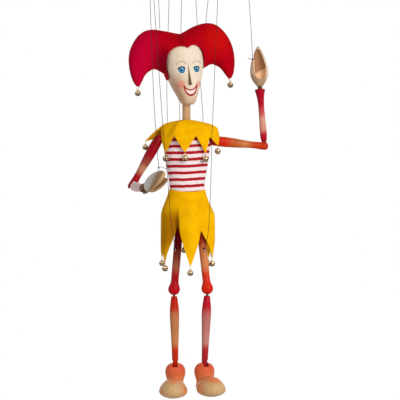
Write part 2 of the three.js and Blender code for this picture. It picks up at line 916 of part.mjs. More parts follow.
function addTorso() {
  figure.add(meshOf("torso", torso(), wood.torso));
  figure.add(meshOf("hip_axle", hipAxle(), finish(paint.steel, 0.4, 0.9)));
  figure.add(meshOf("right_shoulder_tab", shoulderTab(rightShoulderX), finish(paint.hide, 0.8)));
  figure.add(meshOf("left_shoulder_tab", shoulderTab(leftShoulderX), finish(paint.hide, 0.8)));
  figure.add(meshOf("collar", collar(), finish(paint.yellow, 0.75)));
  figure.add(meshOf("skirt", skirt(), finish(paint.yellow, 0.75)));
}

function addHead() {
  const neck = placed(figure, neckX, 0, neckTop);
  neck.add(meshOf("neck", neckDowel(), finish(paint.face, 0.45)));
  const skull = placed(neck);
  skull.quaternion.copy(headTurn);
  skull.add(meshOf("head", head(), wood.head));
  skull.add(meshOf("hat", hat(), finish(paint.red, 0.7)));
  const pin = meshOf("neck_pin", neckPin(), finish(paint.steel, 0.4, 0.9));
  pin.position.z = nodRise;
  skull.add(pin);
  return skull;
}

function addArm(side, shoulder, shoulderPinTurn, lean, handLean, bend, wristBend, palm, thumb) {
  shoulder.add(meshOf(side + "_upper_arm", upperArm(shoulderPinTurn), wood.arms));
  const elbow = placed(shoulder, 0, 0, -upperArmLength);
  elbow.rotation.x = degrees(bend);
  elbow.add(meshOf(side + "_elbow_tab", tabBelow(elbowStart, 2 * armEndRadius - 1.5, 4), finish(paint.hide, 0.8)));
  elbow.add(meshOf(side + "_forearm", forearm(lean), wood.arms));
  const at = wristAt(lean);
  const wrist = placed(elbow, at.x, at.y, at.z);
  wrist.rotation.x = degrees(wristBend);
  wrist.add(meshOf(side + "_wrist_tab", tabBelow(heelReach, 2 * cuffRadius - 4, 3.6), finish(paint.hide, 0.8)));
  wrist.add(meshOf(side + "_hand", hand(palm, thumb, handLean), wood.hands));
  return wrist;
}

function addRightArm() {
  const shoulder = placed(figure, rightShoulderX, 0, shoulderHeight);
  shoulder.rotation.set(0, degrees(rightArmSplay), 0);
  return addArm("right", shoulder, 90, -6, rightHandLean, -90, -29, -1, 1);
}

function addLeftArm() {
  const shoulder = placed(figure, leftShoulderX, 0, shoulderHeight);
  const down = new THREE.Vector3(-Math.cos(degrees(leftArmDrop)), 0, Math.sin(degrees(leftArmDrop)));
  const hinge = new THREE.Vector3(0, 1, 0);
  const third = new THREE.Vector3().crossVectors(down, hinge);
  shoulder.quaternion.setFromRotationMatrix(new THREE.Matrix4().makeBasis(hinge, third, down));
  return addArm("left", shoulder, 0, 0, 0, -100, 2, -1, -1);
}

// A leg swung forward at the hip by some degrees, its shin hanging plumb and its shoe level.
function addLeg(side, x, lean, shinLean, swing, twist) {
  const hip = placed(figure, x, 0, hipHeight);
  hip.rotation.x = degrees(-swing);
  hip.add(meshOf(side + "_thigh", thigh(lean), wood.legs));
  const kneePlace = kneeAt(lean);
  const knee = placed(hip, kneePlace.x, kneePlace.y, kneePlace.z);
  knee.rotation.x = degrees(swing);
  knee.add(meshOf(side + "_knee_tab", tabBelow(shinStart, 2 * kneeRadius - 3, kneeEye), finish(paint.hide, 0.8)));
  knee.add(meshOf(side + "_shin", shin(shinLean, twist), wood.legs));
  const anklePlace = ankleAt(shinLean);
  const ankle = placed(knee, anklePlace.x, anklePlace.y, anklePlace.z);
  ankle.rotation.z = degrees(twist);
  ankle.add(meshOf(side + "_shoe", shoe(), wood.shoes));
  ankle.add(meshOf(side + "_ankle_pin", pinX(axleRadius, 2 * ankleRadius - 3, 8), finish(paint.steel, 0.4, 0.9)));
  return hip;
}

const brass = finish(paint.brass, 0.35, 1);
const thread = finish(paint.thread, 0.8);

function addBell(name, parent, at, outward) {
  const pivot = placed(parent, at.x, at.y, at.z);
  pivot.rotation.z = Math.atan2(outward.y, outward.x);
  pivot.add(meshOf(name, bell(), brass));
  return pivot;
}

function addLeatherBells(name, tips) {
  tips.forEach((tip, k) => {
    const outward = new THREE.Vector3(tip.x, tip.y, 0).normalize();
    const at = tip.clone().addScaledVector(outward, -leather / 2);
    at.z -= 2 * seatGap;
    addBell(name + "_bell_" + (k + 1), figure, at, outward);
  });
}

function addHatBells() {
  for (const [name, side] of [["right", -1], ["left", 1]]) {
    const tip = new THREE.Vector3(side * 76.2, 0, 31.6).applyQuaternion(headTurn);
    tip.add(new THREE.Vector3(neckX, 0, neckTop));
    const outward = new THREE.Vector3(0, -1, 0).applyQuaternion(headTurn);
    tip.z -= seatGap;
    addBell("hat_bell_" + name, figure, tip, outward);
  }
}

// A place on a moving piece, in figure millimetres.
function figurePoint(piece, x, y, z) {
  figure.updateMatrixWorld(true);
  return figure.worldToLocal(piece.localToWorld(new THREE.Vector3(x, y, z)));
}

function addString(name, route, foot, start = 0) {
  const pivot = placed(figure, foot.x, foot.y, foot.z);
  pivot.add(meshOf(name, stringTube(route, foot, start), thread));
}

// The string of a hand starts above a knot, whose loose tail points to one side of X.
function addHandString(side, foot, tailSide) {
  const knot = placed(figure, foot.x, foot.y, foot.z);
  knot.add(meshOf(side + "_hand_knot", ball(knotRadius, 8, 6), thread));
  const start = knotRadius + seatGap;
  const tail = tube(
    [
      new THREE.Vector3(tailSide * start, -0.5, 0.6),
      new THREE.Vector3(tailSide * (start + tailReach * 0.4), -0.5, 0.4),
      new THREE.Vector3(tailSide * (start + tailReach), -0.5, 1.8),
    ],
    stringRadius,
    4,
  );
  knot.add(meshOf(side + "_hand_tail", tail, thread));
  addString(side + "_hand_string", side + "_hand", foot, start);
}

// The string of a leg starts on the front of the thigh, a little way down from the hip.
function addLegString(side, hip, lean) {
  const down = 45;
  const out = -(thighRadius + stringRadius + seatGap);
  const foot = figurePoint(hip, -down * Math.sin(degrees(lean)), out, -down);
  addString(side + "_leg_string", side + "_leg", foot);
}

// The string of the head starts on the ridge of a horn, at a share of the way from its second ring to its third.
function addHeadString(side, skull, sign, share) {
  const [x, z] = [0, 1].map((i) => THREE.MathUtils.lerp(hornPairs[1][i], hornPairs[2][i], share));
  const foot = figurePoint(skull, sign * x, 0, z + stringRadius + seatGap);
  addString(side + "_head_string", side + "_head", foot);
}

addTorso();
const skull = addHead();
const rightWrist = addRightArm();
const leftWrist = addLeftArm();
const rightHip = addLeg("right", hipX[0], rightThighLean, -0.9, 0, rightToeOut);
const leftHip = addLeg("left", hipX[1], leftThighLean, 2, leftLegSwing, leftToeOut);
const collarTips = collarTipAzimuths.map((_, k) => collarPoint(k, 1));
const skirtTips = skirtTipDrops.map((_, k) => skirtPoint((2 * Math.PI * k) / skirtPoints, 1));
addLeatherBells("collar", collarTips);
addLeatherBells("skirt", skirtTips);
addHatBells();
const thumbTop = -heelReach - handLength * (1 - thumbNotch);
const knotRise = knotRadius + seatGap;
const knotReach = 26;
const knotSide = -(knotReach - 3) * Math.sin(degrees(rightHandLean));
addHandString("right", figurePoint(rightWrist, knotSide, -handHalfWidth - knotRise, -heelReach - knotReach), 1);
addHandString("left", figurePoint(leftWrist, -2, -handHalfWidth * 0.7, thumbTop - knotRise), -1);
addLegString("right", rightHip, rightThighLean);
addLegString("left", leftHip, leftThighLean);
addHeadString("right", skull, -1, 0.33);
addHeadString("left", skull, 1, 1);
for (const [route, [x, y, z]] of Object.entries(trunkStrings)) {
  addString(route + "_string", route, new THREE.Vector3(x, y, z));
}

export default figure;
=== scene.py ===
import math

import bpy
from mathutils import Matrix, Vector
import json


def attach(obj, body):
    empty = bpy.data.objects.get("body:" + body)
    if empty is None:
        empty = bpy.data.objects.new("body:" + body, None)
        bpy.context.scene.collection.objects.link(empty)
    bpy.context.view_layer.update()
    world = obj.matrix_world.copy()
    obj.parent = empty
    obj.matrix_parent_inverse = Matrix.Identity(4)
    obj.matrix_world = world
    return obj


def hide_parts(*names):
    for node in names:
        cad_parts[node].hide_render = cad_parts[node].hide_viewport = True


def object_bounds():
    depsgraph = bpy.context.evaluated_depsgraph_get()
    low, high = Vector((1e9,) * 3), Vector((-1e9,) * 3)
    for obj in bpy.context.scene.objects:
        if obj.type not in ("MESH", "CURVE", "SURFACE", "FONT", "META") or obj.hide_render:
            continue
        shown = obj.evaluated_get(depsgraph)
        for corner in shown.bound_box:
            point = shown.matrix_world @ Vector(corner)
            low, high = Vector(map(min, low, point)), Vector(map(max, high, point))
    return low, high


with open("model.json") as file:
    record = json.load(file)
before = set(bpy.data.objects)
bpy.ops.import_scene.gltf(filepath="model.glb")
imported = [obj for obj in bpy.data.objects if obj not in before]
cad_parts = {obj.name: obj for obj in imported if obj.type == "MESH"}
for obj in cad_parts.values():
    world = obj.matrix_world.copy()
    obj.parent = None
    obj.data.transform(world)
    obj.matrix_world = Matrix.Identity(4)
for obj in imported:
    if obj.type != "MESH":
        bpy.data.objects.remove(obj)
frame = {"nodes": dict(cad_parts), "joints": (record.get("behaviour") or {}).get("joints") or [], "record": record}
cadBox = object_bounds()
mm = 0.001
holdHeight = 660  # heights below are counted from the ground, the frame from where the strings are held


def at(x, y, z):
    return Vector((x * mm, y * mm, z * mm))


def figure(x, y, z):
    return at(x, y, z - holdHeight)


def homeOf(node):
    for body, names in frame["record"]["behaviour"]["bodies"].items():
        if node in names:
            return body
    return "trunk"


def standFor(piece, node):
    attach(piece, homeOf(node))
    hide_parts(node)


# Modelling helpers


def mode(name):
    bpy.ops.object.mode_set(mode=name)


def startAlone():
    if bpy.context.object and bpy.context.object.mode != "OBJECT":
        mode("OBJECT")
    bpy.ops.object.select_all(action="DESELECT")


def hold(piece):
    startAlone()
    piece.select_set(True)
    bpy.context.view_layer.objects.active = piece
    return piece


def named(piece, name):
    piece.name = name
    piece.data.name = name
    return piece


def linked(name, data):
    piece = bpy.data.objects.new(name, data)
    bpy.context.scene.collection.objects.link(piece)
    return piece


def settle(piece, matrix=None):
    # the place goes into the mesh, so that the object stays at the origin
    if matrix is not None:
        piece.matrix_world = matrix
    hold(piece)
    bpy.ops.object.transform_apply(location=True, rotation=True, scale=True)
    return piece


def moveBy(x=0, y=0, z=0):
    return Matrix.Translation(at(x, y, z))


def turnedAbout(piece, axis, angle):
    return settle(piece, Matrix.Rotation(math.radians(angle), 4, axis))


def applyModifier(piece, kind, **settings):
    hold(piece)
    modifier = piece.modifiers.new(kind.title(), kind)
    for key, value in settings.items():
        setattr(modifier, key, value)
    bpy.ops.object.modifier_apply(modifier=modifier.name)
    return piece


def rounder(piece):
    return applyModifier(piece, "SUBSURF", levels=2, render_levels=2)


def knitted(piece, voxel, draftVoxel, passes):
    # joined shapes melted into one skin, then eased by passes of smoothing
    applyModifier(piece, "REMESH", mode="VOXEL", voxel_size=voxel * mm)
    return applyModifier(piece, "SMOOTH", factor=0.5, iterations=passes)


def edgesEased(piece, width, angle):
    return applyModifier(
        piece, "BEVEL", width=width * mm, segments=2, limit_method="ANGLE", angle_limit=math.radians(angle)
    )


def cutWith(piece, cutter, operation="DIFFERENCE"):
    applyModifier(piece, "BOOLEAN", object=cutter, operation=operation, solver="EXACT")
    bpy.data.objects.remove(cutter, do_unlink=True)
    return piece


def editAll(piece):
    hold(piece)
    mode("EDIT")
    bpy.ops.mesh.select_all(action="SELECT")


def faceOut(piece):
    editAll(piece)
    bpy.ops.mesh.remove_doubles(threshold=1e-6)
    bpy.ops.mesh.normals_make_consistent(inside=False)
    mode("OBJECT")
    return piece


def smoothed(piece, angle=40):
    hold(piece)
    bpy.ops.object.shade_smooth_by_angle(angle=math.radians(angle))
    return piece


def tightened(rings, sides):
    # rings moved out by what the smoothing takes away, so that the finished surface passes through them
    swell = 3 / (2 + math.cos(2 * math.pi / sides))
    result = []
    for k, ring in enumerate(rings):
        ring = list(ring)
        if 0 < k < len(rings) - 1:
            ring = [v + 0.8 * (v - (a + 4 * v + b) / 6) for v, a, b in zip(ring, rings[k - 1], rings[k + 1])]
        ring[3] = max(ring[3] * swell, 0.2)
        ring[4] = max(ring[4] * swell, 0.2)
        result.append(ring)
    return result


def turnRing(angle, centre):
    if angle:
        bpy.ops.transform.rotate(value=-math.radians(angle), orient_axis="Y", center_override=centre)


def ringStack(name, rings, sides=16, corner=1.0):
    # a capped ring drawn up through (centre x, y, z, half width, half depth, tilt about Y) of each ring
    startAlone()
    rings = tightened(rings, sides)
    x, y, z, wide, deep, tilt = rings[0]
    centre = at(x, y, z)
    if corner < 1:
        bpy.ops.mesh.primitive_plane_add(size=2, location=centre)
        mode("EDIT")
        bpy.ops.mesh.bevel(offset=corner, segments=sides // 4 - 1, affect="VERTICES")
        mode("OBJECT")
    else:
        bpy.ops.mesh.primitive_circle_add(vertices=sides, radius=1, fill_type="NGON", location=centre)
    piece = settle(named(bpy.context.object, name))
    editAll(piece)
    bpy.ops.transform.resize(value=(wide * mm, deep * mm, 1), center_override=centre)
    turnRing(tilt, centre)
    for x, y, z, nextWide, nextDeep, nextTilt in rings[1:]:
        place = at(x, y, z)
        bpy.ops.mesh.extrude_region_move(TRANSFORM_OT_translate={"value": place - centre})
        centre = place
        turnRing(-tilt, centre)
        bpy.ops.transform.resize(value=(nextWide / wide, nextDeep / deep, 1), center_override=centre)
        turnRing(nextTilt, centre)
        wide, deep, tilt = nextWide, nextDeep, nextTilt
    mode("OBJECT")
    return faceOut(piece)


def turned(name, profile):
    # a lathe-turned piece along Z from (radius, height) pairs
    return rounder(ringStack(name, [(0, 0, z, max(radius, 0.4), max(radius, 0.4), 0) for radius, z in profile]))


def block(sizeX, sizeY, sizeZ, x=0, y=0, z=0):
    startAlone()
    bpy.ops.mesh.primitive_cube_add(size=1, location=at(x, y, z))
    cutter = bpy.context.object
    cutter.scale = at(sizeX, sizeY, sizeZ)
    return settle(cutter)


def drum(radius, length, axis, x=0, y=0, z=0, sides=32):
    startAlone()
    turn = (0, math.pi / 2 if axis == "X" else 0, 0)
    bpy.ops.mesh.primitive_cylinder_add(
        vertices=sides, radius=radius * mm, depth=length * mm, location=at(x, y, z), rotation=turn
    )
    return settle(bpy.context.object)


def ball(radius, place, segments, rings):
    startAlone()
    bpy.ops.mesh.primitive_uv_sphere_add(
        segments=segments, ring_count=rings, radius=radius * mm, location=place
    )
    return settle(bpy.context.object)


def addRing(major, minor, place, turn=(0, 0, 0), steps=(28, 8)):
    bpy.ops.mesh.primitive_torus_add(
        major_segments=steps[0], minor_segments=steps[1], major_radius=major * mm, minor_radius=minor * mm,
        location=place, rotation=turn,
    )


def between(points, steps=8):
    # a smooth line through the points
    line = []
    for k in range(len(points) - 1):
        before = points[max(k - 1, 0)]
        first, second = points[k], points[k + 1]
        after = points[min(k + 2, len(points) - 1)]
        for j in range(steps):
            t = j / steps
            line.append(0.5 * (
                2 * first + (second - before) * t
                + (2 * before - 5 * first + 4 * second - after) * t ** 2
                + (3 * first - before - 3 * second + after) * t ** 3
            ))
    return line + [points[-1]]


def tubeAlong(name, line, radius):
    curve = bpy.data.curves.new(name, "CURVE")
    curve.dimensions = "3D"
    curve.bevel_depth = radius * mm
    curve.bevel_resolution = 3
    curve.use_fill_caps = True
    spline = curve.splines.new("POLY")
    spline.points.add(len(line) - 1)
    for point, place in zip(spline.points, line):
        point.co = (*place, 1)
    return linked(name, curve)


def lerp(a, b, t):
    return a + (b - a) * t


def ease(value, low, high):
    t = min(max((value - low) / (high - low), 0), 1)
    return t * t * (3 - 2 * t)


def axes(place, xAxis, zAxis):
    # a frame from its place in millimetres and two of its directions
    across = Vector(xAxis).normalized()
    ahead = Vector(zAxis).normalized().cross(across).normalized()
    matrix = Matrix((across, ahead, across.cross(ahead))).transposed().to_4x4()
    matrix.translation = Vector(place) * mm
    return matrix


def skin(name, loops, capped=False):
    # a surface through closed loops of places, each loop with the same count
    count = len(loops[0])
    faces = []
    last = (len(loops) - 1) * count
    for near in range(0, last, count):
        for k in range(count):
            after = (k + 1) % count
            faces.append((near + k, near + count + k, near + count + after, near + after))
    if capped:
        faces += [list(range(count)), list(range(last, last + count))[::-1]]
    mesh = bpy.data.meshes.new(name)
    mesh.from_pydata([place for loop in loops for place in loop], [], faces)
    return linked(name, mesh)


# Shader helpers


def paint(code):
    # a hex colour as linear light
    parts = [int(code[k : k + 2], 16) / 255 for k in (0, 2, 4)]
    return tuple(c / 12.92 if c <= 0.04045 else ((c + 0.055) / 1.055) ** 2.4 for c in parts)


def bothWays(operation):
    # an operator and its reflected form
    return (
        lambda self, other: self.maths(operation, self, other),
        lambda self, other: self.maths(operation, other, self),
    )


class Wire:
    # one output socket, with arithmetic that adds Math nodes
    def __init__(self, tree, socket):
        self.tree = tree
        self.socket = socket

    def maths(self, operation, *values):
        node = self.tree.nodes.new("ShaderNodeMath")
        node.operation = operation
        for socket, value in zip(node.inputs, values):
            plug(self.tree, socket, value)
        return Wire(self.tree, node.outputs[0])

    __add__, __radd__ = bothWays("ADD")
    __sub__, __rsub__ = bothWays("SUBTRACT")
    __mul__, __rmul__ = bothWays("MULTIPLY")
    __truediv__, __rtruediv__ = bothWays("DIVIDE")

    def __abs__(self):
        return self.maths("ABSOLUTE", self)


def plug(tree, socket, value):
    if isinstance(value, Wire):
        tree.links.new(value.socket, socket)
        return
    if isinstance(value, str):
        value = paint(value)
    if isinstance(value, tuple) and len(value) == 3 and len(socket.default_value) == 4:
        value = (*value, 1)
    socket.default_value = value


class Finish:
    # a material, and the nodes that its maker joins up
    def __init__(self, name, gloss=0.5, **constants):
        self.material = bpy.data.materials.new(name)
        self.material.use_nodes = True
        self.tree = self.material.node_tree
        self.shader = self.tree.nodes["Principled BSDF"]
        self.set("Specular IOR Level", gloss)
        for key, value in constants.items():
            self.set(key.replace("_", " "), value)

    def set(self, key, value):
        plug(self.tree, self.shader.inputs[key], value)

    def node(self, kind, settings, sockets, output=0):
        node = self.tree.nodes.new(kind)
        for key, value in settings.items():
            setattr(node, key, value)
        for key, value in sockets.items():
            plug(self.tree, node.inputs[key], value)
        return Wire(self.tree, node.outputs[output])

    def place(self, matrix=None):
        # object coordinates in millimetres, in a piece's own frame
        coords = self.node("ShaderNodeTexCoord", {}, {}, "Object")
        matrix = matrix or moveBy(z=-holdHeight)
        sockets = {"Vector": coords, "Location": matrix.translation, "Rotation": matrix.to_euler()}
        return self.node("ShaderNodeMapping", {"vector_type": "TEXTURE"}, {**sockets, "Scale": (mm, mm, mm)})

    def parts(self, coords):
        split = self.node("ShaderNodeSeparateXYZ", {}, {0: coords})
        return [Wire(self.tree, output) for output in split.socket.node.outputs]

    def stretched(self, coords, by):
        return self.node("ShaderNodeVectorMath", {"operation": "MULTIPLY"}, {0: coords, 1: by})

    def moved(self, coords, by):
        return self.node("ShaderNodeVectorMath", {"operation": "ADD"}, {0: coords, 1: by})

    def distance(self, coords, point):
        return self.node("ShaderNodeVectorMath", {"operation": "DISTANCE"}, {0: coords, 1: point}, "Value")

    def noise(self, coords, scale, detail=2, roughness=0.5, distortion=0):
        sockets = {"Vector": coords, "Scale": scale, "Detail": detail, "Roughness": roughness}
        return self.node("ShaderNodeTexNoise", {}, {**sockets, "Distortion": distortion})

    def grain(self, coords, along=(1, 1, 0.06), scale=0.55):
        # streaks that run along the limb
        return self.noise(self.stretched(coords, along), scale, 5, 0.6, 0.6)

    def pores(self, coords):
        return self.noise(self.stretched(coords, (1, 1, 0.12)), 2.4, 2, 0.5)

    def step(self, value, low, high, start=0, end=1):
        sockets = {"Value": value, "From Min": low, "From Max": high, "To Min": start, "To Max": end}
        return self.node("ShaderNodeMapRange", {"interpolation_type": "SMOOTHSTEP"}, sockets)

    def mix(self, factor, first, second, blend="MIX"):
        settings = {"data_type": "RGBA", "blend_type": blend}
        return self.node("ShaderNodeMix", settings, {"Factor": factor, 6: first, 7: second}, 2)

    def tint(self, base, colour, value, low, high, start=0, end=1):
        return self.mix(self.step(value, low, high, start, end), base, colour)

    def surface(self, colour, roughness, height=None, depth=0.0003):
        self.set("Base Color", colour)
        self.set("Roughness", roughness)
        if height is not None:
            bump = self.node("ShaderNodeBump", {}, {"Height": height, "Strength": 1.0, "Distance": depth})
            self.set("Normal", bump)
        return self.material


def wear(piece, material):
    piece.data.materials.clear()
    piece.data.materials.append(material)
    return piece


def dressed(piece, material, node, angle=40):
    # smooth, covered and standing for its CAD node
    standFor(wear(smoothed(piece, angle), material), node)


print("frame loaded")

# Camera: level with the waist, ten degrees to the figure's right

cameraValues = {
    "distance": 2.3,
    "azimuth": -10,
    "aim": (0.02048, -0.00361, -0.341),
    "lens": 129.4,
    "sensor": 36,
    "near": 0.05,
}


def addCamera():
    turn = math.radians(cameraValues["azimuth"])
    aim = Vector(cameraValues["aim"])
    place = aim + cameraValues["distance"] * Vector((math.sin(turn), -math.cos(turn), 0))
    data = bpy.data.cameras.new("viewCamera")
    data.lens = cameraValues["lens"]
    data.sensor_width = cameraValues["sensor"]
    data.clip_start = cameraValues["near"]
    camera = linked("viewCamera", data)
    camera.location = place
    camera.rotation_euler = (aim - place).to_track_quat("-Z", "Y").to_euler()
    bpy.context.scene.camera = camera


addCamera()

# Strings

stringValues = {
    "diameter": 0.8,
    "loopRadius": 3.2,
    "grey": "2c2622",
    "dark": "2b2724",
    "pale": "b9b1a6",
    "tailRadius": {"dark": 0.35, "pale": 0.7},
    "legKnot": 1.6,
    "handKnot": 1.3,
    "handKnotRise": 5,
    # each route leads from the string's foot to the top, in figure millimetres
    "routes": {
        "right_hand_string": [
            (-61.53, -110.18, 363.1), (-69, -116, 450), (-72.5, -109, 550), (-74.7, -100, 656),
        ],
        "left_hand_string": [(106.74, -2, 545.75), (104.3, -3, 590), (99.5, -4, 656)],
        "right_leg_string": [
            (-19.5, -6.8, 242), (-23.5, -21, 249), (-29.4, -35, 269), (-33.5, -40, 300), (-38.5, -48, 350),
            (-47.6, -58, 432), (-67, -80, 656),
        ],
        "left_leg_string": [
            (24.7, -17, 242), (26, -25, 247), (27.5, -38, 268), (29, -42, 300), (30.5, -45, 350),
            (32.6, -47, 432), (39.3, -62, 656),
        ],
        "right_head_string": [(-44.27, -2.27, 590.38), (-45.8, -5, 620), (-48, -5, 656)],
        "left_head_string": [(30.86, 1.67, 600.98), (33.4, 4, 625), (36.9, 4, 656)],
        "right_shoulder_string": [
            (-31, 6, 424), (-31, 6, 446), (-31, 6, 454), (-28, 30, 500), (-24, 50, 560), (-18.5, 66, 656),
        ],
        "left_shoulder_string": [
            (27, 6, 428), (27, 6, 446), (27, 6, 454), (28, 30, 500), (28, 50, 560), (25.5, 66, 656),
        ],
        "back_string": [
            (-10, 11, 430), (-10, 11, 448), (-10, 11, 455), (-6, 36, 500), (-2, 54, 560), (2.5, 68, 656),
        ],
    },
    # the ends left at a knot, as routes from it
    "ends": {
        "right_leg_string": {
            "pale": [(0, 0, 0), (-0.6, -1.6, -2.4), (-0.4, -1.8, -5.4)],
            "dark": [(0, 0, 0), (4, -1.6, -0.4), (8.5, -1, 0.4), (13, 0, 0)],
        },
        "left_leg_string": {
            "pale": [(0, 0, 0), (0.8, -1.6, -2.6), (1.4, -1.8, -5.6)],
            "dark": [(0, 0, 0), (4, -2, -1.6), (8, -2.6, -6), (10.5, -2.4, -12), (10, -2, -15)],
        },
        "right_hand_string": {"dark": [(0, 0, 0), (4, -1, 1), (8, -0.6, -0.4), (12, 0, -1.6)]},
    },
}


def threadFinish(shade):
    finish = Finish("thread_" + shade, 0.1)
    coords = finish.place()
    lay = finish.parts(coords)[2] * 2.6 + finish.noise(coords, 0.6, 1) * 3
    twist = lay.maths("SINE", lay)
    colour = paint(stringValues[shade])
    colour = finish.mix(finish.step(twist, -1, 1), colour, tuple(c * 0.55 for c in colour))
    return finish.surface(colour, 0.7, twist, 0.0002)


threads = {shade: threadFinish(shade) for shade in ("grey", "dark", "pale")}


def loopAt(name, top):
    # the string's end, doubled back into a loop and bound by three turns
    radius = stringValues["loopRadius"]
    startAlone()
    addRing(radius, 0.55, top + Vector((0, 0, radius * mm)), (math.pi / 2, 0, 0))
    loop = settle(named(bpy.context.object, name))
    mode("EDIT")
    for turn in range(3):
        addRing(0.7, 0.4, top + Vector((0, 0, (-0.9 + 0.75 * turn) * mm)), (0.12, 0.1, 0), (14, 6))
    mode("OBJECT")
    return wear(smoothed(loop, 80), threads["grey"])


def knotAt(name, place, radius):
    # a lump of wound turns: three rings crossed over a small ball
    knot = named(ball(radius * 0.8, place, 16, 10), name)
    mode("EDIT")
    for turn in ((0.4, 0.2, 0), (1.5, 0.3, 0.4), (0.9, 1.3, 0.8)):
        addRing(radius * 0.72, radius * 0.34, place, turn, (18, 6))
    mode("OBJECT")
    return wear(smoothed(knot, 80), threads["dark"])


def knotAndEnds(node, line):
    inHand = node == "right_hand_string"
    foot = line[1]
    if inHand:
        foot = line[0].lerp(line[1], stringValues["handKnotRise"] * mm / (line[1] - line[0]).length)
    pieces = [knotAt("knot_" + node, foot, stringValues["handKnot" if inHand else "legKnot"])]
    for shade, steps in stringValues["ends"][node].items():
        route = between([foot + Vector(step) * mm for step in steps], 6)
        end = tubeAlong(shade + "_end_" + node, route, stringValues["tailRadius"][shade])
        pieces.append(wear(end, threads[shade]))
    if inHand:
        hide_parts("right_hand_knot")
        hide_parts("right_hand_tail")
    return pieces


def addStrings():
    for node, route in stringValues["routes"].items():
        line = between([figure(*point) for point in route])
        string = wear(tubeAlong("thread_" + node, line, stringValues["diameter"] / 2), threads["grey"])
        extras = [loopAt("loop_" + node, line[-1])]
        if node in stringValues["ends"]:
            extras += knotAndEnds(node, line)
        length = sum((b - a).length for a, b in zip(line, line[1:]))
        for piece in [string] + extras:
            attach(piece, homeOf(node))
        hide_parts(node)


addStrings()
print("strings hung")

# Light, floor and background

lightValues = {
    "ambient": 0.4,
    "aim": (0, 0, -0.34),
    "lamps": {  # place, power and size
        "keyLight": ((0.9, -1.9, 0.35), 32, 1.2),
        "fillLight": ((-1.9, -0.9, 0), 4, 1.2),
        "backLight": ((0.4, 1.6, 0.6), 2, 1.6),
    },
    "floorDrop": 0.42,
    "floorSize": 3.6,
    "floorGreys": ((0.86, 0.86, 0.86), (0.82, 0.82, 0.82)),
}


def addLight():
    world = bpy.data.worlds.new("paleRoom")
    bpy.context.scene.world = world
    world.use_nodes = True
    tree = world.node_tree
    background = tree.nodes["Background"]
    path = tree.nodes.new("ShaderNodeLightPath")
    rays = ("Is Camera Ray", "Is Glossy Ray", "Is Transmission Ray")
    seen, shiny, through = (Wire(tree, path.outputs[ray]) for ray in rays)
    white = seen.maths("MAXIMUM", seen.maths("MAXIMUM", seen, shiny), through)
    plug(tree, background.inputs["Color"], (1, 1, 1, 1))
    plug(tree, background.inputs["Strength"], lightValues["ambient"] + white * (1 - lightValues["ambient"]))
    for name, (place, power, size) in lightValues["lamps"].items():
        data = bpy.data.lights.new(name, "AREA")
        data.shape = "DISK"
        data.size = size
        data.energy = power
        lamp = linked(name, data)
        lamp.location = place
        lamp.rotation_euler = (Vector(lightValues["aim"]) - lamp.location).to_track_quat("-Z", "Y").to_euler()


def addFloor():
    startAlone()
    height = cadBox[0][2] - lightValues["floorDrop"]
    bpy.ops.mesh.primitive_plane_add(size=lightValues["floorSize"], location=(0, 0, height))
    floor = named(bpy.context.object, "paleFloor")
    finish = Finish("paleFloorPaint")
    speckle = finish.noise(finish.place(), 0.02, 3)
    wear(floor, finish.surface(finish.mix(speckle, *lightValues["floorGreys"]), 0.9))


addLight()
addFloor()
bpy.context.scene.view_settings.view_transform = "Standard"
print("light and floor set")

# Frames of the limbs: place, direction of the hinge and upward direction at rest

limbFrames = {
    "right_upper_arm": axes((-47, 0, -246), (0.86777, 0, -0.49697), (0.49697, 0, 0.86777)),
    "right_forearm": axes((-88.75, 0, -318.89), (0.86777, 0, -0.49697), (0, 1, 0)),
    "right_hand": axes((-80.85, -86.52, -323.41), (0.86777, 0, -0.49697), (-0.24094, 0.87462, -0.4207)),
    "left_upper_arm": axes((43, 0, -246), (0, 1, 0), (-0.99556, 0, 0.09411)),
    "left_forearm": axes((126.63, 0, -253.91), (0, 1, 0), (0.0802, 0, -0.99678)),
    "left_hand": axes((119.65, 0, -167.19), (0, 1, 0), (0.04536, 0, -0.99897)),
    "right_thigh": axes((-11, 0, -368), (1, 0, 0), (0, 0, 1)),
    "right_shin": axes((-20.91, 0, -483.58), (1, 0, 0), (0, 0, 1)),
    "right_shoe": axes((-18.85, 0, -614.56), (0.9703, -0.24192, 0), (0, 0, 1)),
    "left_thigh": axes((20, 0, -368), (1, 0, 0), (0, 0.19081, 0.98163)),
    "left_shin": axes((28.9, -22.07, -481.53), (1, 0, 0), (0, 0, 1)),
    "left_shoe": axes((24.33, -22.07, -612.45), (0.99452, 0.10453, 0), (0, 0, 1)),
    "head": axes((-1, 0, -186), (0.99316, 0.05205, 0.10453), (-0.10439, -0.00547, 0.99452)),
}

# Wood that is turned and stained


def limbFinish(name, matrix, stops):
    # stain sprayed in soft bands down the limb, over bare grain
    finish = Finish(name, 0.05, Coat_Roughness=0.2, Coat_Weight=0.08)
    coords = finish.place(matrix)
    streaks = finish.grain(coords)
    pores = finish.pores(coords)
    wobble = (finish.noise(coords, 0.05, 2) - 0.5) * 9 + (streaks - 0.5) * 5
    height = finish.parts(coords)[2] + wobble
    low, top = stops[-1][0], stops[0][0]
    ramp = finish.node("ShaderNodeValToRGB", {}, {0: (height - low) / (top - low)})
    bands = ramp.socket.node.color_ramp
    bands.interpolation = "EASE"
    while len(bands.elements) < len(stops):
        bands.elements.new(0.5)
    for element, (z, colour) in zip(bands.elements, sorted(stops)):
        element.position = (z - low) / (top - low)
        element.color = (*paint(colour), 1)
    dark = finish.mix(finish.step(streaks, 0.4, 0.78, 0, 0.4), ramp, (0.55, 0.3, 0.2), "MULTIPLY")
    colour = finish.mix(finish.step(pores, 0.6, 0.75, 0, 0.22), dark, (0.4, 0.22, 0.15), "MULTIPLY")
    return finish.surface(colour, 0.32 + streaks * 0.16, streaks * 0.7 + pores * 0.3, 0.00025)


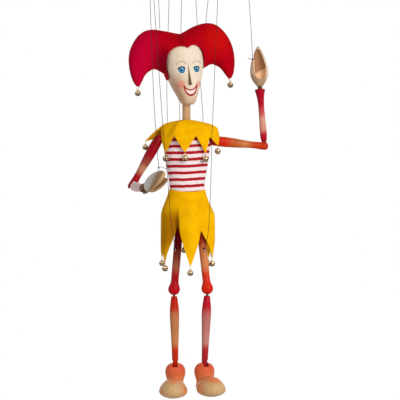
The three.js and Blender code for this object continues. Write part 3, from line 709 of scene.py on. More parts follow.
def finishLimb(limb, node, name, stops):
    settle(limb, limbFrames[node])
    dressed(limb, limbFinish(name, limbFrames[node], stops), node)


def lowerEnd(length, lean):
    # where a leaning limb ends, as x and z from its hinge
    return -length * math.sin(math.radians(lean)), -length * math.cos(math.radians(lean))


# Arms

armValues = {
    "upperLength": 84,
    "upperProfile": [
        (1.4, 9), (5.2, 7.4), (7.2, 3.6), (7.8, -4), (8.1, -12), (8.1, -22), (7.2, -38), (5.9, -54),
        (5.4, -64), (5.9, -76), (6.5, -84), (5.2, -88.4), (1.2, -90.5),
    ],
    "foreLength": 87,
    "foreProfile": {
        "right": [
            (3.4, -7.8), (4.4, -9), (5.6, -13), (7, -20), (7.5, -28), (7.2, -42), (6.2, -58), (6, -70),
            (6.8, -83), (8.0, -88), (8.2, -90.6), (7.6, -92), (7.2, -92.1),
        ],
        "left": [
            (3.4, -7.6), (4.3, -8.6), (5.1, -12.6), (5.6, -22), (5.3, -38), (4.7, -56), (5.0, -70),
            (6.6, -84), (8.0, -88), (8.2, -90.6), (7.6, -92), (7.2, -92.1),
        ],
    },
    "forkWidth": 3.4,
    "forkRadius": 10.5,
    "foreLean": {"right": -6, "left": 0},
    "shoulderTurn": {"right": 90, "left": 0},
    "foreTop": -7.8,
    "wristRadius": 10.6,
    "tab": (3.3, 7.7, 17),  # the mortise that a tab sits in
    # stains as height along the limb and colour
    "upperStain": {
        "right": [
            (8, "92000e"), (-26, "9a0014"), (-42, "9c4438"), (-54, "c08664"), (-67, "a5101c"),
            (-92, "8e0612"),
        ],
        "left": [
            (8, "b80a06"), (-14, "d42c00"), (-34, "be5a24"), (-52, "ca7c42"), (-66, "c83e0c"),
            (-92, "b82c06"),
        ],
    },
    "foreStain": {
        # the right forearm darkens to brown at its wrist end
        "right": [(0, "cfa098"), (-40, "e0c0ba"), (-74, "d8b4ae"), (-85, "b08a7c"), (-92, "866a54")],
        "left": [
            (-5, "ac0018"), (-17, "b41028"), (-28, "d8907c"), (-43, "dc9c88"), (-56, "c8484c"),
            (-68, "b00826"), (-92, "a80020"),
        ],
    },
}


def tabSlot(limb, end):
    return cutWith(limb, block(*armValues["tab"], 0, 0, end + 1.6))


def addArm(side):
    values = armValues
    node = side + "_upper_arm"
    width, radius = values["forkWidth"], values["forkRadius"]
    upper = turned("turned_" + node, values["upperProfile"])
    cutWith(upper, drum(radius, width, "X", 0, 0, -values["upperLength"]))
    cutWith(upper, turnedAbout(drum(radius, width, "X"), "Z", values["shoulderTurn"][side]))
    finishLimb(upper, node, "upperArmStain_" + side, values["upperStain"][side])

    node = side + "_forearm"
    lean = values["foreLean"][side]
    fore = turnedAbout(turned("turned_" + node, values["foreProfile"][side]), "Y", lean)
    wristX, wristZ = lowerEnd(values["foreLength"], lean)
    cutWith(fore, drum(values["wristRadius"], width, "X", wristX, 0, wristZ))
    tabSlot(fore, values["foreTop"])
    finishLimb(fore, node, "forearmStain_" + side, values["foreStain"][side])


addArm("right")
addArm("left")
print("arms turned")

# Hands: the left with a scooped palm and a thumb, the right with fingers curled over a thumb

handValues = {
    "size": {"right": (0.86, 1, 0.92), "left": (1, 1, 1)},
    "lean": {"right": -14, "left": 0},
    "heel": 8.9,
    "length": 67.6,
    "halfWidth": 15,
    "halfDepth": 11,
    "melt": (0.6, 0.8, 2),  # voxel in full and in the draft, passes of smoothing
    "front": (60, 12, 32, 0, -13.2),
    # each lobe as distance from the heel, half width, half depth and shift to the side
    "mitt": {
        "right": [
            (0, 0.3, 0.36, 0), (4, 0.5, 0.56, 0), (11, 0.86, 0.84, -0.8), (20, 0.98, 0.96, -1.6),
            (30, 0.96, 0.98, -2.2), (39, 0.87, 0.9, -2.6), (48, 0.74, 0.74, -2.8), (54, 0.52, 0.5, -2.8),
            (58, 0.26, 0.24, -2.8),
        ],
        "left": [
            (0, 0.3, 0.36, 0), (4, 0.48, 0.54, 0), (12, 0.84, 0.86, 0), (22, 1, 1, 0), (33, 0.94, 0.95, 0),
            (44, 0.74, 0.82, 0), (55, 0.46, 0.6, 0), (62, 0.24, 0.34, 0), (66, 0.08, 0.1, 0),
        ],
    },
    "scoop": {
        "right": [
            (13, 0.2, 0.06, 3.6), (19, 0.7, 0.12, 4.8), (29, 0.88, 0.18, 5.8), (40, 0.92, 0.26, 6.2),
            (52, 1, 0.4, 6.6), (72, 1.05, 0.7, 7.2),
        ],
        "left": [
            (10, 0.2, 0.2, 0), (15, 0.5, 0.66, 0), (23, 0.68, 0.88, 0), (33, 0.66, 0.88, -0.4),
            (44, 0.56, 0.74, -1.7), (55, 0.36, 0.5, -2.6), (61, 0.16, 0.3, -1.8),
        ],
    },
    "thumb": [
        (5, 0.3, 0.3, 1), (10, 0.7, 0.46, 4), (20, 0.9, 0.46, 7.4), (31, 0.86, 0.42, 9.2),
        (41, 0.64, 0.34, 10), (48, 0.4, 0.22, 10.2), (52, 0.18, 0.1, 10.2),
    ],
    "mittOffset": {"right": 1.4, "left": 0},
    "scoopOffset": {"right": 1, "left": -5.5},
    "thumbOffset": 2,
}


def handFinish(side, hollow):
    finish = Finish("hand" + ("ShadedHollow_" if hollow else "Wood_") + side, 0.1, Coat_Weight=0.02)
    home = limbFrames[side + "_hand"]
    x, y, z = finish.parts(finish.place(home))
    turn = Matrix.Rotation(math.radians(40 if hollow else 0), 4, "X")
    streaks = finish.grain(finish.place(home @ turn))
    if side == "left":
        # inside the scoop the wood is painted darker brown: painted shade in the hollow
        light, dark = ("b07c58", "82583a") if hollow else ("d6c2a6", "b08c68")
        colour = finish.mix(finish.step(streaks, 0.4, 0.72, 0, 0.7), light, dark)
        if hollow:
            low = finish.step(z + y * 0.5, -36, -31)
            edge = finish.step(y, -6.2, -7.2) * finish.step(z, -58, -54)
            colour = finish.mix(low.maths("MAXIMUM", low, edge), colour, "ecc098")
        else:
            colour = finish.tint(colour, "a07c5c", z, -34, -22, 0, 0.8)
            colour = finish.tint(colour, "ead8be", y, 6, 12, 0, 0.6)
    else:
        x = x * (1 / handValues["size"][side][0])
        colour = finish.mix(finish.step(streaks, 0.4, 0.72, 0, 0.4), "d4cdc6", "b09c88")
        # painted shade: the fingers darken to brown towards the thumb side, where they face down
        colour = finish.tint(colour, "927050", x * 1.4 - z * 0.3 + streaks * 6, 8, 24)
        colour = finish.tint(colour, "c09a70", x + z * 0.04, 5.2, 6.2)
        if hollow:
            # painted shade: tan inside the scoop of the right hand
            colour = finish.tint(colour, "d0a878", x, 0.5, 3.5, 0.9, 0.6)
    return finish.surface(colour, 0.42 + streaks * 0.1, streaks, 0.0002)


def addHand(side):
    node = side + "_hand"
    values = handValues
    heel = values["heel"]

    def lobe(name, stations, offset):
        rings = []
        for along, wide, deep, aside in stations:
            x, y = (aside, offset) if side == "right" else (offset, aside)
            rings.append((x, y, -heel - along, deep * values["halfDepth"], wide * values["halfWidth"], 0))
        return rounder(ringStack(name, rings))

    mitt = lobe("carved_" + node, values["mitt"][side], values["mittOffset"][side])
    if side == "right":
        cutWith(mitt, lobe("thumb", values["thumb"], values["thumbOffset"]), "UNION")
    knitted(mitt, *values["melt"])
    cutter = lobe("scoop", values["scoop"][side], values["scoopOffset"][side])
    if side == "left":
        # the palm is open to the front, above its tip
        cutWith(cutter, block(*values["front"], 8 - heel - values["length"]), "UNION")
    hollow = handFinish(side, True)
    wear(mitt, handFinish(side, False))
    mitt.data.materials.append(hollow)
    cutWith(mitt, wear(cutter, hollow))
    edgesEased(mitt, 0.5, 55)
    pivot = moveBy(z=-heel - 3)
    settle(mitt, pivot @ Matrix.Rotation(math.radians(values["lean"][side]), 4, "Y") @ pivot.inverted())
    pivot = moveBy(z=-heel)
    settle(mitt, pivot @ Matrix.Diagonal((*values["size"][side], 1)) @ pivot.inverted())
    tabSlot(mitt, -heel)
    standFor(smoothed(settle(mitt, limbFrames[node])), node)


addHand("right")
addHand("left")
print("hands carved")

# Legs

legValues = {
    "thighLength": 116,
    "thighProfile": [
        (5.4, -0.6), (6, -1.6), (6.4, -20), (6.4, -40), (6.3, -60), (6.3, -84), (6, -98), (6.3, -105),
        (7.6, -109.5), (9.2, -113.5), (9.4, -117), (8.4, -120.6), (5, -124), (1.2, -125.4),
    ],
    "thighLean": {"right": 4.9, "left": -4.4},
    "shinLength": 131,
    "shinProfile": [
        (3.8, -11.2), (4.8, -12), (5.6, -18), (7, -28), (7.5, -38), (7.4, -46), (6.9, -60), (6, -80),
        (5.2, -100), (5, -118), (5, -130), (4, -134.6), (1.2, -136),
    ],
    "shinLean": {"right": -0.9, "left": 2},
    "toeOut": {"right": -14, "left": 6},
    "ankleSlot": 8.4,
    "hipBoss": (8, 12),
    "hipBore": 2.1,
    "kneeSlot": (3.4, 34.5, 47),
    "shinTop": -11.6,
    "ankleHalf": 3.8,
    "thighStain": {
        "right": [
            (8, "70000c"), (-46, "800010"), (-62, "963c2a"), (-78, "a85a3c"), (-96, "b00c1a"),
            (-126, "c4041e"),
        ],
        "left": [
            (8, "780410"), (-40, "b03a18"), (-58, "d07a48"), (-78, "d48450"), (-96, "d83414"),
            (-126, "d8200a"),
        ],
    },
    "shinStain": {
        "right": [
            (-10, "b80800"), (-26, "c42006"), (-46, "c0784a"), (-82, "c88450"), (-100, "c43008"),
            (-137, "b01000"),
        ],
        "left": [
            (-10, "b80018"), (-26, "bc0a22"), (-48, "bc7066"), (-82, "c48478"), (-100, "b02428"),
            (-137, "980010"),
        ],
    },
}


def addLeg(side):
    values = legValues
    node = side + "_thigh"
    lean = values["thighLean"][side]
    thigh = turnedAbout(turned("turned_" + node, values["thighProfile"]), "Y", lean)
    cutWith(thigh, drum(*values["hipBoss"], "X"), "UNION")
    cutWith(thigh, drum(values["hipBore"], 40, "X"))
    kneeX, kneeZ = lowerEnd(values["thighLength"], lean)
    cutWith(thigh, block(*values["kneeSlot"], kneeX, 12.75, kneeZ + 5.2 - 23.5))
    edgesEased(thigh, 0.35, 50)
    finishLimb(thigh, node, "thighStain_" + side, values["thighStain"][side])

    node = side + "_shin"
    lean = values["shinLean"][side]
    shin = turnedAbout(turned("turned_" + node, values["shinProfile"]), "Y", lean)
    ankleX, ankleZ = lowerEnd(values["shinLength"], lean)
    for flank in (-1, 1):  # the ankle is cut flat to fit its slot
        flat = block(20, 60, 26, flank * (values["ankleHalf"] + 10), 0, 5)
        turnedAbout(flat, "Z", values["toeOut"][side])
        cutWith(shin, settle(flat, moveBy(ankleX, 0, ankleZ)))
    tabSlot(shin, values["shinTop"])
    finishLimb(shin, node, "shinStain_" + side, values["shinStain"][side])


addLeg("right")
addLeg("left")
print("legs turned")

# Shoes: a ball ankle on a bulbous toe

shoeValues = {
    "ankleHeight": {"right": 37.4, "left": 35.2},
    "length": 82,
    "toeHalfWidth": 22.8,
    "toeHeight": 31,
    "keel": 0.36,
    "stations": [
        (0, 0.3, 0.4), (4, 0.5, 0.62), (16, 0.6, 0.7), (30, 0.74, 0.84), (44, 0.94, 1), (56, 1, 1),
        (68, 0.86, 0.86), (77, 0.58, 0.6), (82, 0.2, 0.25),
    ],
    "ankleProfile": [
        (1.2, 13.9), (8.2, 12.9), (14.2, 8), (16.5, 0.4), (15.4, -7), (13.4, -13), (12.8, -17), (13.6, -26),
    ],
    "melt": (1.0, 1.5, 22),
    "slotRadius": 7.2,
    "slotCuts": ((20, 10, 5), (92, 40, 28)),  # depth, height and middle
}


def shoeFinish(side):
    finish = Finish("shoeStain_" + side, 0.1, Coat_Weight=0.02, Coat_Roughness=0.15)
    coords = finish.place(limbFrames[side + "_shoe"])
    x, y, z = finish.parts(coords)
    streaks = finish.grain(coords, (1, 0.5, 0.1), 0.5)
    pores = finish.pores(coords)
    wobble = (finish.noise(coords, 0.06, 2) - 0.5) * 10
    bare = finish.step(z * -1 + wobble, 8, 15) * finish.step(y * -1 + wobble, 10, 22)
    bare = bare * finish.step(abs(x) + wobble * 0.6, 12, 22, 1, 0.25)
    stain = finish.mix(finish.step(z + wobble, -14, 10), "e08048", "dc5c38")
    natural = finish.mix(finish.step(streaks, 0.4, 0.7, 0, 0.35), "d0a878", "b88a58")
    colour = finish.mix(bare, stain, natural)
    colour = finish.mix(finish.step(streaks, 0.45, 0.8, 0, 0.16), colour, (0.5, 0.3, 0.2), "MULTIPLY")
    return finish.surface(colour, 0.34 + streaks * 0.12, streaks * 0.7 + pores * 0.3, 0.00022)


def addShoe(side):
    node = side + "_shoe"
    values = shoeValues
    sole = -values["ankleHeight"][side]
    keel = sole + values["keel"] * values["toeHeight"]
    rise = (1 - values["keel"]) * values["toeHeight"]
    rings = []
    for back, wide, tall in values["stations"]:
        rings.append((0, keel, back, wide * values["toeHalfWidth"], tall * rise, 0))
    toe = rounder(ringStack("carved_" + node, rings))
    settle(toe, moveBy(y=values["length"] * 0.2) @ Matrix.Rotation(math.radians(90), 4, "X"))
    for vertex in toe.data.vertices:  # the belly is flatter than the top, which narrows upward
        above = vertex.co.z / mm - keel
        if above < 0:
            vertex.co.z = (keel + above * 0.6) * mm
        else:
            vertex.co.x *= 1 - 0.16 * above / rise
    cutWith(toe, turned("ankle", values["ankleProfile"]), "UNION")
    knitted(toe, *values["melt"])
    cutWith(toe, block(200, 300, 100, 0, 0, sole - 50))
    slotWidth = legValues["ankleSlot"]
    cutWith(toe, drum(values["slotRadius"], slotWidth, "X"))
    for deep, tall, middle in values["slotCuts"]:
        cutWith(toe, block(slotWidth, deep, tall, 0, 0, middle))
    edgesEased(toe, 0.5, 50)
    settle(toe, limbFrames[node])
    dressed(toe, shoeFinish(side), node, 50)


addShoe("right")
addShoe("left")
print("shoes carved")

# Torso

torsoValues = {
    "rings": [
        (3.5, 0, 281, 21, 13), (3.5, 0, 285, 28, 17), (2.5, 0, 308, 30, 19), (0, 0, 335, 27.5, 19),
        (0, 0, 356, 30.2, 20), (0, 0, 380, 34.3, 20.6), (0, 0, 400, 37, 21.4), (0, 0, 416, 37, 21),
        (0, 0, 428, 33, 18.5), (0, 0, 438, 24, 14.5), (0, 0, 442.4, 15, 11.5), (0, 0, 443.8, 10, 9),
    ],
    "stripeStep": 10.6,
    "stripeFirst": 414.9,
    "stripeHalf": 2.35,
    "neckBore": 6.9,
    "neckFloor": 425.65,
    "hips": (-11, 20),
    "hipHeight": 292,
    "hipSlot": (14, 80, 60),
    "hipRoof": 301.5,
    "axleBore": 2.05,
    "shoulders": (-41, 41),
    "shoulderHeight": 414,
    "shoulderSlot": (24, 3.3, 7.7),
    "stringHoles": ((-31, 6), (27, 6), (-10, 11)),
    "stringFloor": 423.65,
    "stringRadius": 1.3,
    "white": ("f4e2e2", "dfc2c2"),
    "red": "ac0016",
}


def stringHoles(piece):
    height = torsoValues["stringFloor"] + 30 - holdHeight
    for x, y in torsoValues["stringHoles"]:
        cutWith(piece, drum(torsoValues["stringRadius"], 60, "Z", x, y, height, 12))


def stripeFinish():
    values = torsoValues
    finish = Finish("stripedWood", 0.05, Coat_Weight=0.02, Coat_Roughness=0.2)
    coords = finish.place()
    x, _, z = finish.parts(coords)
    streaks = finish.grain(coords)
    wave = (finish.noise(finish.stretched(coords, (1, 1, 0.25)), 0.12, 3, 0.6) - 0.5) * 1.8
    rise = finish.step(x, -10, 36, 0, 2.6)
    place = (z - rise + wave - values["stripeFirst"]) / values["stripeStep"] + 40.5
    offset = abs(place.maths("FRACT", place) - 0.5) * values["stripeStep"]
    edge = offset + finish.noise(coords, 0.9, 2) - 0.5
    stripe = 1 - finish.step(edge, values["stripeHalf"] - 0.35, values["stripeHalf"] + 0.35)
    white = finish.mix(finish.step(streaks, 0.45, 0.75, 0, 0.45), *values["white"])
    worn = finish.step(finish.noise(coords, 1.6, 3, 0.7), 0.3, 0.5, 0.92, 1)
    colour = finish.mix(stripe * worn, white, values["red"])
    return finish.surface(colour, 0.42 + streaks * 0.12, streaks * 0.6 + stripe * 0.2, 0.0002)


def addTorso():
    values = torsoValues
    rings = [(x, y, z - holdHeight, wide, deep, 0) for x, y, z, wide, deep in values["rings"]]
    torso = rounder(ringStack("carved_torso", rings, 24))
    cutWith(torso, drum(values["neckBore"], 40, "Z", -1, 0, values["neckFloor"] + 20 - holdHeight))
    for x in values["hips"]:
        cutWith(torso, block(*values["hipSlot"], x, 0, values["hipRoof"] - 30 - holdHeight))
    for x in values["shoulders"]:
        cutWith(torso, block(*values["shoulderSlot"], x, 0, values["shoulderHeight"] - holdHeight))
    stringHoles(torso)
    cutWith(torso, drum(values["axleBore"], 120, "X", 0, 0, values["hipHeight"] - holdHeight, 16))
    dressed(torso, stripeFinish(), "torso")


addTorso()
print("torso striped")

# Head and neck

headValues = {
    "shift": 1.5,
    "halfWidth": 30,
    "halfDepth": 29,
    "levels": [
        (-4, 0.18, 0.3, 0.02), (-2, 0.32, 0.62, 0.1), (3, 0.4, 0.78, 0.24), (12, 0.53, 0.86, 0.42),
        (24, 0.69, 0.92, 0.66), (38, 0.85, 0.94, 0.86), (54, 1.0, 0.93, 0.98), (70, 1.07, 0.97, 1.04),
        (84, 1.02, 0.98, 1.02), (96, 0.8, 0.82, 0.84), (104, 0.48, 0.54, 0.56), (108.5, 0.15, 0.2, 0.2),
    ],
    "nose": [(66, 1.0, 0.2), (58, 1.3, 1.4), (46, 2.1, 3.8), (36, 3.0, 6.4), (30, 3.8, 8.2), (27, 3.4, 7.2)],
    "noseShift": 2.0,
    "melt": (0.7, 1.0, 2),
    "neckBore": (9.3, 40, "Z", 0, 0, -5),
    "neckPin": (2.1, 40, "X", 0, 0, 8),
    "neckPlace": (-1, 0, -186),
    "neckProfile": [(5.2, 13), (6.3, 12), (6.5, 10), (6.5, -20), (6.5, -46), (6.2, -48)],
}
faceValues = {
    # places are counted from the middle of the skull: sideways, then up from the chin
    "eyes": [(-9.6, 51.2, 1.0), (14.8, 50.6, 0.9)],
    "brows": [(-9.8, 57.4, 7.6), (16.0, 57.0, 7.0)],
    "mouth": (2.0, 26.8, 10.6, 16.4, 7.8),
    "blush": [(-12, 29, 9.5), (16, 27, 7.5)],
    "paints": {
        "skin": "e9d9c2", "grain": "d4b48e", "faceShade": "b87e52", "chin": "c08a5c", "blush": "e2745e",
        "white": "f7f6f0", "iris": "5aa9cc", "irisEdge": "1f6a98", "irisRim": "153f5e", "pupil": "0f1f38",
        "glint": "e4f4f8", "lash": "26343f", "lid": "8a7a6c", "brow": "6a4f36", "lips": "a01c24",
        "teeth": "f6e2d6", "noseSideShade": "7d5635", "underNoseShadow": "5a3c26",
    },
}


def headStack(name, swell):
    values = headValues
    rings = []
    for z, wide, front, back in values["levels"]:
        ahead = front * values["halfDepth"] + swell
        behind = back * values["halfDepth"] + swell
        height = z + swell if z > 56 else z - swell
        half = wide * values["halfWidth"] + swell
        rings.append((values["shift"], (behind - ahead) / 2, height, half, (ahead + behind) / 2, 0))
    return rounder(ringStack(name, rings, 24, 0.72))


def noseWedge():
    # a wedge with its ridge to the front
    middle = headValues["shift"] + headValues["noseShift"]
    face = -headValues["halfDepth"] * 0.93
    loops = []
    for z, half, reach in headValues["nose"]:
        corners = ((-half, 4), (-half, 0.4), (-0.35, -reach), (0.35, -reach), (half, 0.4), (half, 4))
        loops.append([at(middle + x, face + y, z) for x, y in corners])
    return faceOut(skin("nose", loops, True))


def faceFinish():
    paints = faceValues["paints"]
    finish = Finish("paintedFace", 0.1, Coat_Weight=0.02, Coat_Roughness=0.2)
    coords = finish.moved(finish.place(limbFrames["head"]), (-headValues["shift"], 0, 0))
    x, y, z = finish.parts(coords)
    flat = finish.stretched(coords, (1, 0, 1))
    streaks = finish.grain(coords, (1, 1, 0.05))
    colour = finish.mix(finish.step(streaks, 0.42, 0.72, 0, 0.35), paints["skin"], paints["grain"])
    # painted shade: the face darkens to tan down its -x side and lower down, and darker again towards the chin
    uneven = x + (finish.noise(coords, 0.08, 2) - 0.5) * 4
    faceShade = finish.step(uneven, 3, -17, 0, 0.7) * finish.step(z, 56, 26, 0.25, 1)
    colour = finish.mix(faceShade, colour, paints["faceShade"])
    colour = finish.tint(colour, paints["chin"], z, 26, 2, 0, 0.45)
    front = finish.step(y, -16, -12, 1, 0)

    def layer(mask, name, base):
        return finish.mix(mask * front, base, paints[name])

    def ringAt(far, radius, half):
        return finish.step(abs(far - radius), half - 0.25, half + 0.25, 1, 0)

    for across, up, size in faceValues["blush"]:
        far = finish.distance(flat, (across, 0, up))
        colour = layer(finish.step(far, 1.5, size, 0.6, 0), "blush", colour)
    for across, up, size in faceValues["eyes"]:
        almond = finish.distance(finish.stretched(flat, (0.94, 0, 1.1)), (across * 0.94, 0, (up - 0.3) * 1.1))
        colour = layer(finish.step(almond, 6.0 * size, 6.5 * size, 1, 0), "white", colour)
        iris = finish.distance(flat, (across, 0, up + 0.3))
        blue = finish.mix(finish.step(iris, 2.0 * size, 5.0 * size), paints["iris"], paints["irisEdge"])
        colour = finish.mix(finish.step(iris, 4.9 * size, 5.4 * size, 1, 0) * front, colour, blue)
        colour = layer(ringAt(iris, 4.9 * size, 0.6), "irisRim", colour)
        colour = layer(finish.step(iris, 2.1 * size, 2.6 * size, 1, 0), "pupil", colour)
        glint = finish.distance(flat, (across + 1.3, 0, up + 1.7))
        colour = layer(finish.step(glint, 0.6, 1.1, 0.95, 0), "glint", colour)
        lash = ringAt(almond, 6.4 * size, 0.65) * finish.step(z, up + 0.5, up + 3)
        colour = layer(lash, "lash", colour)
        under = ringAt(almond, 6.4 * size, 0.2) * finish.step(z, up - 1, up - 4) * 0.5
        colour = layer(under, "lid", colour)
    for across, up, radius in faceValues["brows"]:
        brow = finish.distance(finish.stretched(flat, (0.92, 0, 1)), (across * 0.92, 0, up))
        colour = layer(ringAt(brow, radius, 0.35) * finish.step(z, up + 1.5, up + 4.5), "brow", colour)
    across, up, half, deep, sag = faceValues["mouth"]
    radius = half * half / (2 * sag) + sag / 2
    bow = finish.distance(flat, (across, 0, up - sag + radius))
    bowl = finish.distance(finish.stretched(flat, (1, 0, half / deep)), (across, 0, up * half / deep))
    lips = finish.step(bow, radius - 1.2, radius - 0.8) * finish.step(bowl, half + 0.6, half + 1.0, 1, 0)
    lips = lips * finish.step(z, up + 0.6, up + 1.2, 1, 0)
    colour = layer(lips, "lips", colour)
    teeth = finish.step(bow, radius + 0.9, radius + 1.3) * finish.step(bowl, half - 1.5, half - 1.1, 1, 0)
    teeth = teeth * finish.step(z, up - 1.8, up - 1.0, 1, 0)
    colour = layer(teeth, "teeth", colour)
    # painted shade down the side of the nose and painted shadow under its tip
    beside = headValues["noseShift"] + 0.1
    nose = finish.step(y, -27.6, -28.4) * finish.step(x, beside, beside + 0.4, 1, 0)
    nose = nose * finish.step(z, 66, 62) * finish.step(z, 64, 40, 0.5, 0.9)
    colour = finish.mix(nose, colour, paints["noseSideShade"])
    colour = finish.mix(finish.step(y, -28.2, -29) * finish.step(z, 29.6, 28.6), colour, paints["underNoseShadow"])
    return finish.surface(colour, 0.4 + streaks * 0.1, streaks, 0.00015)


def neckFinish(matrix):
    finish = Finish("neckWood", 0.1, Coat_Weight=0.02, Coat_Roughness=0.2)
    coords = finish.place(matrix)
    streaks = finish.grain(coords, (1, 1, 0.07))
    pores = finish.pores(coords)
    colour = finish.mix(finish.step(streaks, 0.4, 0.72, 0, 0.5), "c89c70", "cfa57a")
    colour = finish.tint(colour, "a97a50", pores, 0.62, 0.74, 0, 0.2)
    return finish.surface(colour, 0.42 + streaks * 0.12, streaks * 0.7 + pores * 0.3, 0.00022)


def addHead():
    head = cutWith(headStack("carved_head", 0), noseWedge(), "UNION")
    knitted(head, *headValues["melt"])
    cutWith(head, drum(*headValues["neckBore"]))
    settle(head, limbFrames["head"])
    dressed(head, faceFinish(), "head", 50)
    home = moveBy(*headValues["neckPlace"])
    neck = turned("turned_neck", headValues["neckProfile"])
    cutWith(neck, turnedAbout(drum(*headValues["neckPin"]), "Z", 3))
    settle(neck, home)
    dressed(neck, neckFinish(home), "neck")


addHead()
print("head carved")

# Hat: a cap with two horns

hatValues = {
    "leather": 1.6,
    "gap": 0.35,
    "edge": 40,
    "horn": [
        (0, 111, 0, 42, 30), (24, 118, 27, 46, 27), (45, 122, 41, 57, 21), (62, 117.5, 51, 58, 17.5),
        (76, 103, 58.5, 54, 14.5), (84.5, 84, 64, 48.5, 11), (86, 61.5, 68, 42, 8),
        (82.5, 43, 71.5, 36.5, 4.2), (77.5, 33.5, 75, 31.5, 1.2),
    ],
    "lift": {"right": -1.2, "left": 2.2},  # how much higher the top of each horn is
    "seam": 0.6,
    "melt": (1.1, 1.6, 4),
    "cheek": (34, 70, 34, 24, -30, 38),
    # the heart-shaped edge of the leather round the face: four curves of four points each
    "opening": [
        ((29, 44), (31, 58), (31, 68), (28.5, 77)),
        ((28.5, 77), (24, 90), (11, 93), (3.5, 85)),
        ((3.5, 85), (-4, 92), (-20, 90), (-28, 79)),
        ((-28, 79), (-33, 71), (-33, 60), (-29, 44)),
    ],
    "suede": ("b40012", "a80010", "8a0318"),
    "thread": ("b8001a", "8c0012"),
}


def hornStack():
    # one run of rings from the tip of one horn over the crown to the tip of the other
    def horn(side, sign):
        lift = hatValues["lift"][side]
        return [(sign * ox, oz + lift * ease(oz, 80, 112), sign * ix, iz, deep)
                for ox, oz, ix, iz, deep in hatValues["horn"][1:]]

    run = horn("right", -1)[::-1] + [(-3.5, 111.2, -3.5, 42, 30), (3.5, 111.2, 3.5, 42, 30)] + horn("left", 1)
    rings = []
    for outerX, outerZ, innerX, innerZ, deep in run:
        across = Vector((outerX - innerX, outerZ - innerZ))
        angle = math.degrees(math.atan2(across.y, across.x))
        rings.append(((outerX + innerX) / 2, 0, (outerZ + innerZ) / 2, across.length / 2, deep, -angle))
    return rounder(ringStack("horns", rings, 24)), run


def addSeams(run):
    # the raised seam where the two halves of leather meet, over the top and under each horn
    finish = Finish("hatSeamLeather", 0.03)
    stitch = finish.noise(finish.place(limbFrames["head"]), 0.9, 2)
    leather = finish.surface(finish.mix(stitch, *hatValues["thread"]), 0.8, stitch, 0.0003)
    lines = [[(ox, oz) for ox, oz, ix, iz, deep in run]]
    lines += [[(ix, iz) for ox, oz, ix, iz, deep in half] for half in (run[:6], run[-6:])]
    for number, line in enumerate(lines):
        route = between([Vector((x, 0, z)) * mm for x, z in line], 6)
        seam = hold(tubeAlong("hatSeam" + str(number + 1), route, hatValues["seam"]))
        bpy.ops.object.convert(target="MESH")
        wear(settle(seam, limbFrames["head"]), leather)
        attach(seam, homeOf("hat"))


def faceOpening():
    outline = [(29, -30)]
    for a, b, c, d in hatValues["opening"]:
        for k in range(12):
            t = k / 12
            outline.append(tuple(
                (1 - t) ** 3 * a[i] + 3 * t * (1 - t) ** 2 * b[i] + 3 * t * t * (1 - t) * c[i] + t ** 3 * d[i]
                for i in (0, 1)
            ))
    outline += [(-29, 44), (-29, -30)]
    loops = [[at(x + headValues["shift"], y, z) for x, z in outline] for y in (-7, -87)]
    return faceOut(skin("faceOpening", loops, True))


def suede(finish, coords, patch, warp, grit, codes):
    # two kinds of nap over the leather; returns the colour, the fine grain and the height
    nap = finish.noise(coords, patch, 4, 0.6, warp)
    fine = finish.noise(coords, grit, 4, 0.65)
    colour = finish.mix(finish.step(nap, 0.35, 0.7), codes[0], codes[1])
    colour = finish.tint(colour, codes[2], fine, 0.45, 0.8, 0, 0.14)
    return colour, fine, fine * 0.6 + nap * 0.4


def hatFinish():
    finish = Finish("redSuede", 0.03)
    coords = finish.place(limbFrames["head"])
    colour, fine, height = suede(finish, coords, 0.09, 0.8, 1.4, hatValues["suede"])
    across, depth, up = finish.parts(coords)
    front = finish.step(depth, -2, -10)
    # painted shade: a dark patch where the leather folds back beside the face
    fold = finish.distance(finish.stretched(coords, (1, 0, 0.8)), (-35, 0, 68 * 0.8))
    colour = finish.mix(finish.step(fold, 4, 24, 0.78, 0) * front, colour, "4c000c")
    # painted shade along the crease down the front of the crown
    creaseShade = finish.step(abs(across + 3), 1, 9, 0.42, 0) * finish.step(up, 82, 92) * front
    colour = finish.mix(creaseShade, colour, "6a000a")
    # painted light: a brighter orange-red patch high on the +x horn, and a lighter, pinker cast towards the -x
    # horn
    lit = finish.distance(finish.stretched(coords, (1, 0, 1)), (58, 0, 96))
    colour = finish.tint(colour, "cc1004", lit, 4, 38, 0.6, 0)
    colour = finish.tint(colour, "c80036", across, -20, -70, 0, 0.75)
    return finish.surface(colour, 0.7 + fine * 0.2, height, 0.0004)


def addHat():
    hat = headStack("stitched_hat", hatValues["gap"] + hatValues["leather"])
    horns, run = hornStack()
    cutWith(hat, horns, "UNION")
    knitted(hat, *hatValues["melt"])
    cutWith(hat, block(80, 200, 60, 0, 0, hatValues["edge"] - 30))
    cutWith(hat, block(*hatValues["cheek"]))
    cutWith(hat, headStack("skull", hatValues["gap"]))
    cutWith(hat, faceOpening())
    addSeams(run)
    settle(hat, limbFrames["head"])
    dressed(hat, hatFinish(), "hat", 45)


addHat()
print("hat stitched")

# Collar and skirt: yellow leather cut in points

collarValues = {
    "neck": 8.9,
    "top": 447,
    "halfDepth": 29,
    "tipAzimuths": [-10, 35, 57, 134, 173, 215, 242, 305],
    "tipReaches": [46, 46, 57, 49, 46, 46, 75, 46],
    "tipHeights": [394, 393, 406, 397, 394, 394, 413, 394],
    "notchAzimuths": [12.5, 46, 88, 153, 194, 228, 264, 327.5],
    "notchReaches": [46, 46, 50, 46, 46, 47, 41, 46],
    "notchHeights": [421, 420, 434, 421, 421, 422, 434, 421],
    "bendReach": 44,
    "bendDrop": 5,
}
skirtValues = {
    "waist": 335,
    "waistHalf": (29.45, 20.95),
    "hemHalf": (42.5, 30),
    "tipHeights": [213, 227, 226, 247, 227, 220],
    "notchHeights": [271, 279, 277, 277, 279, 283],
    "fold": 2.2,
    "bulge": 3,
}
leatherValues = {
    "thickness": 1.6,
    "suede": ("f8ba00", "ecaa00", "c58a08"),
    "shade": "7c3400",
    "farShade": "8a5206",
}


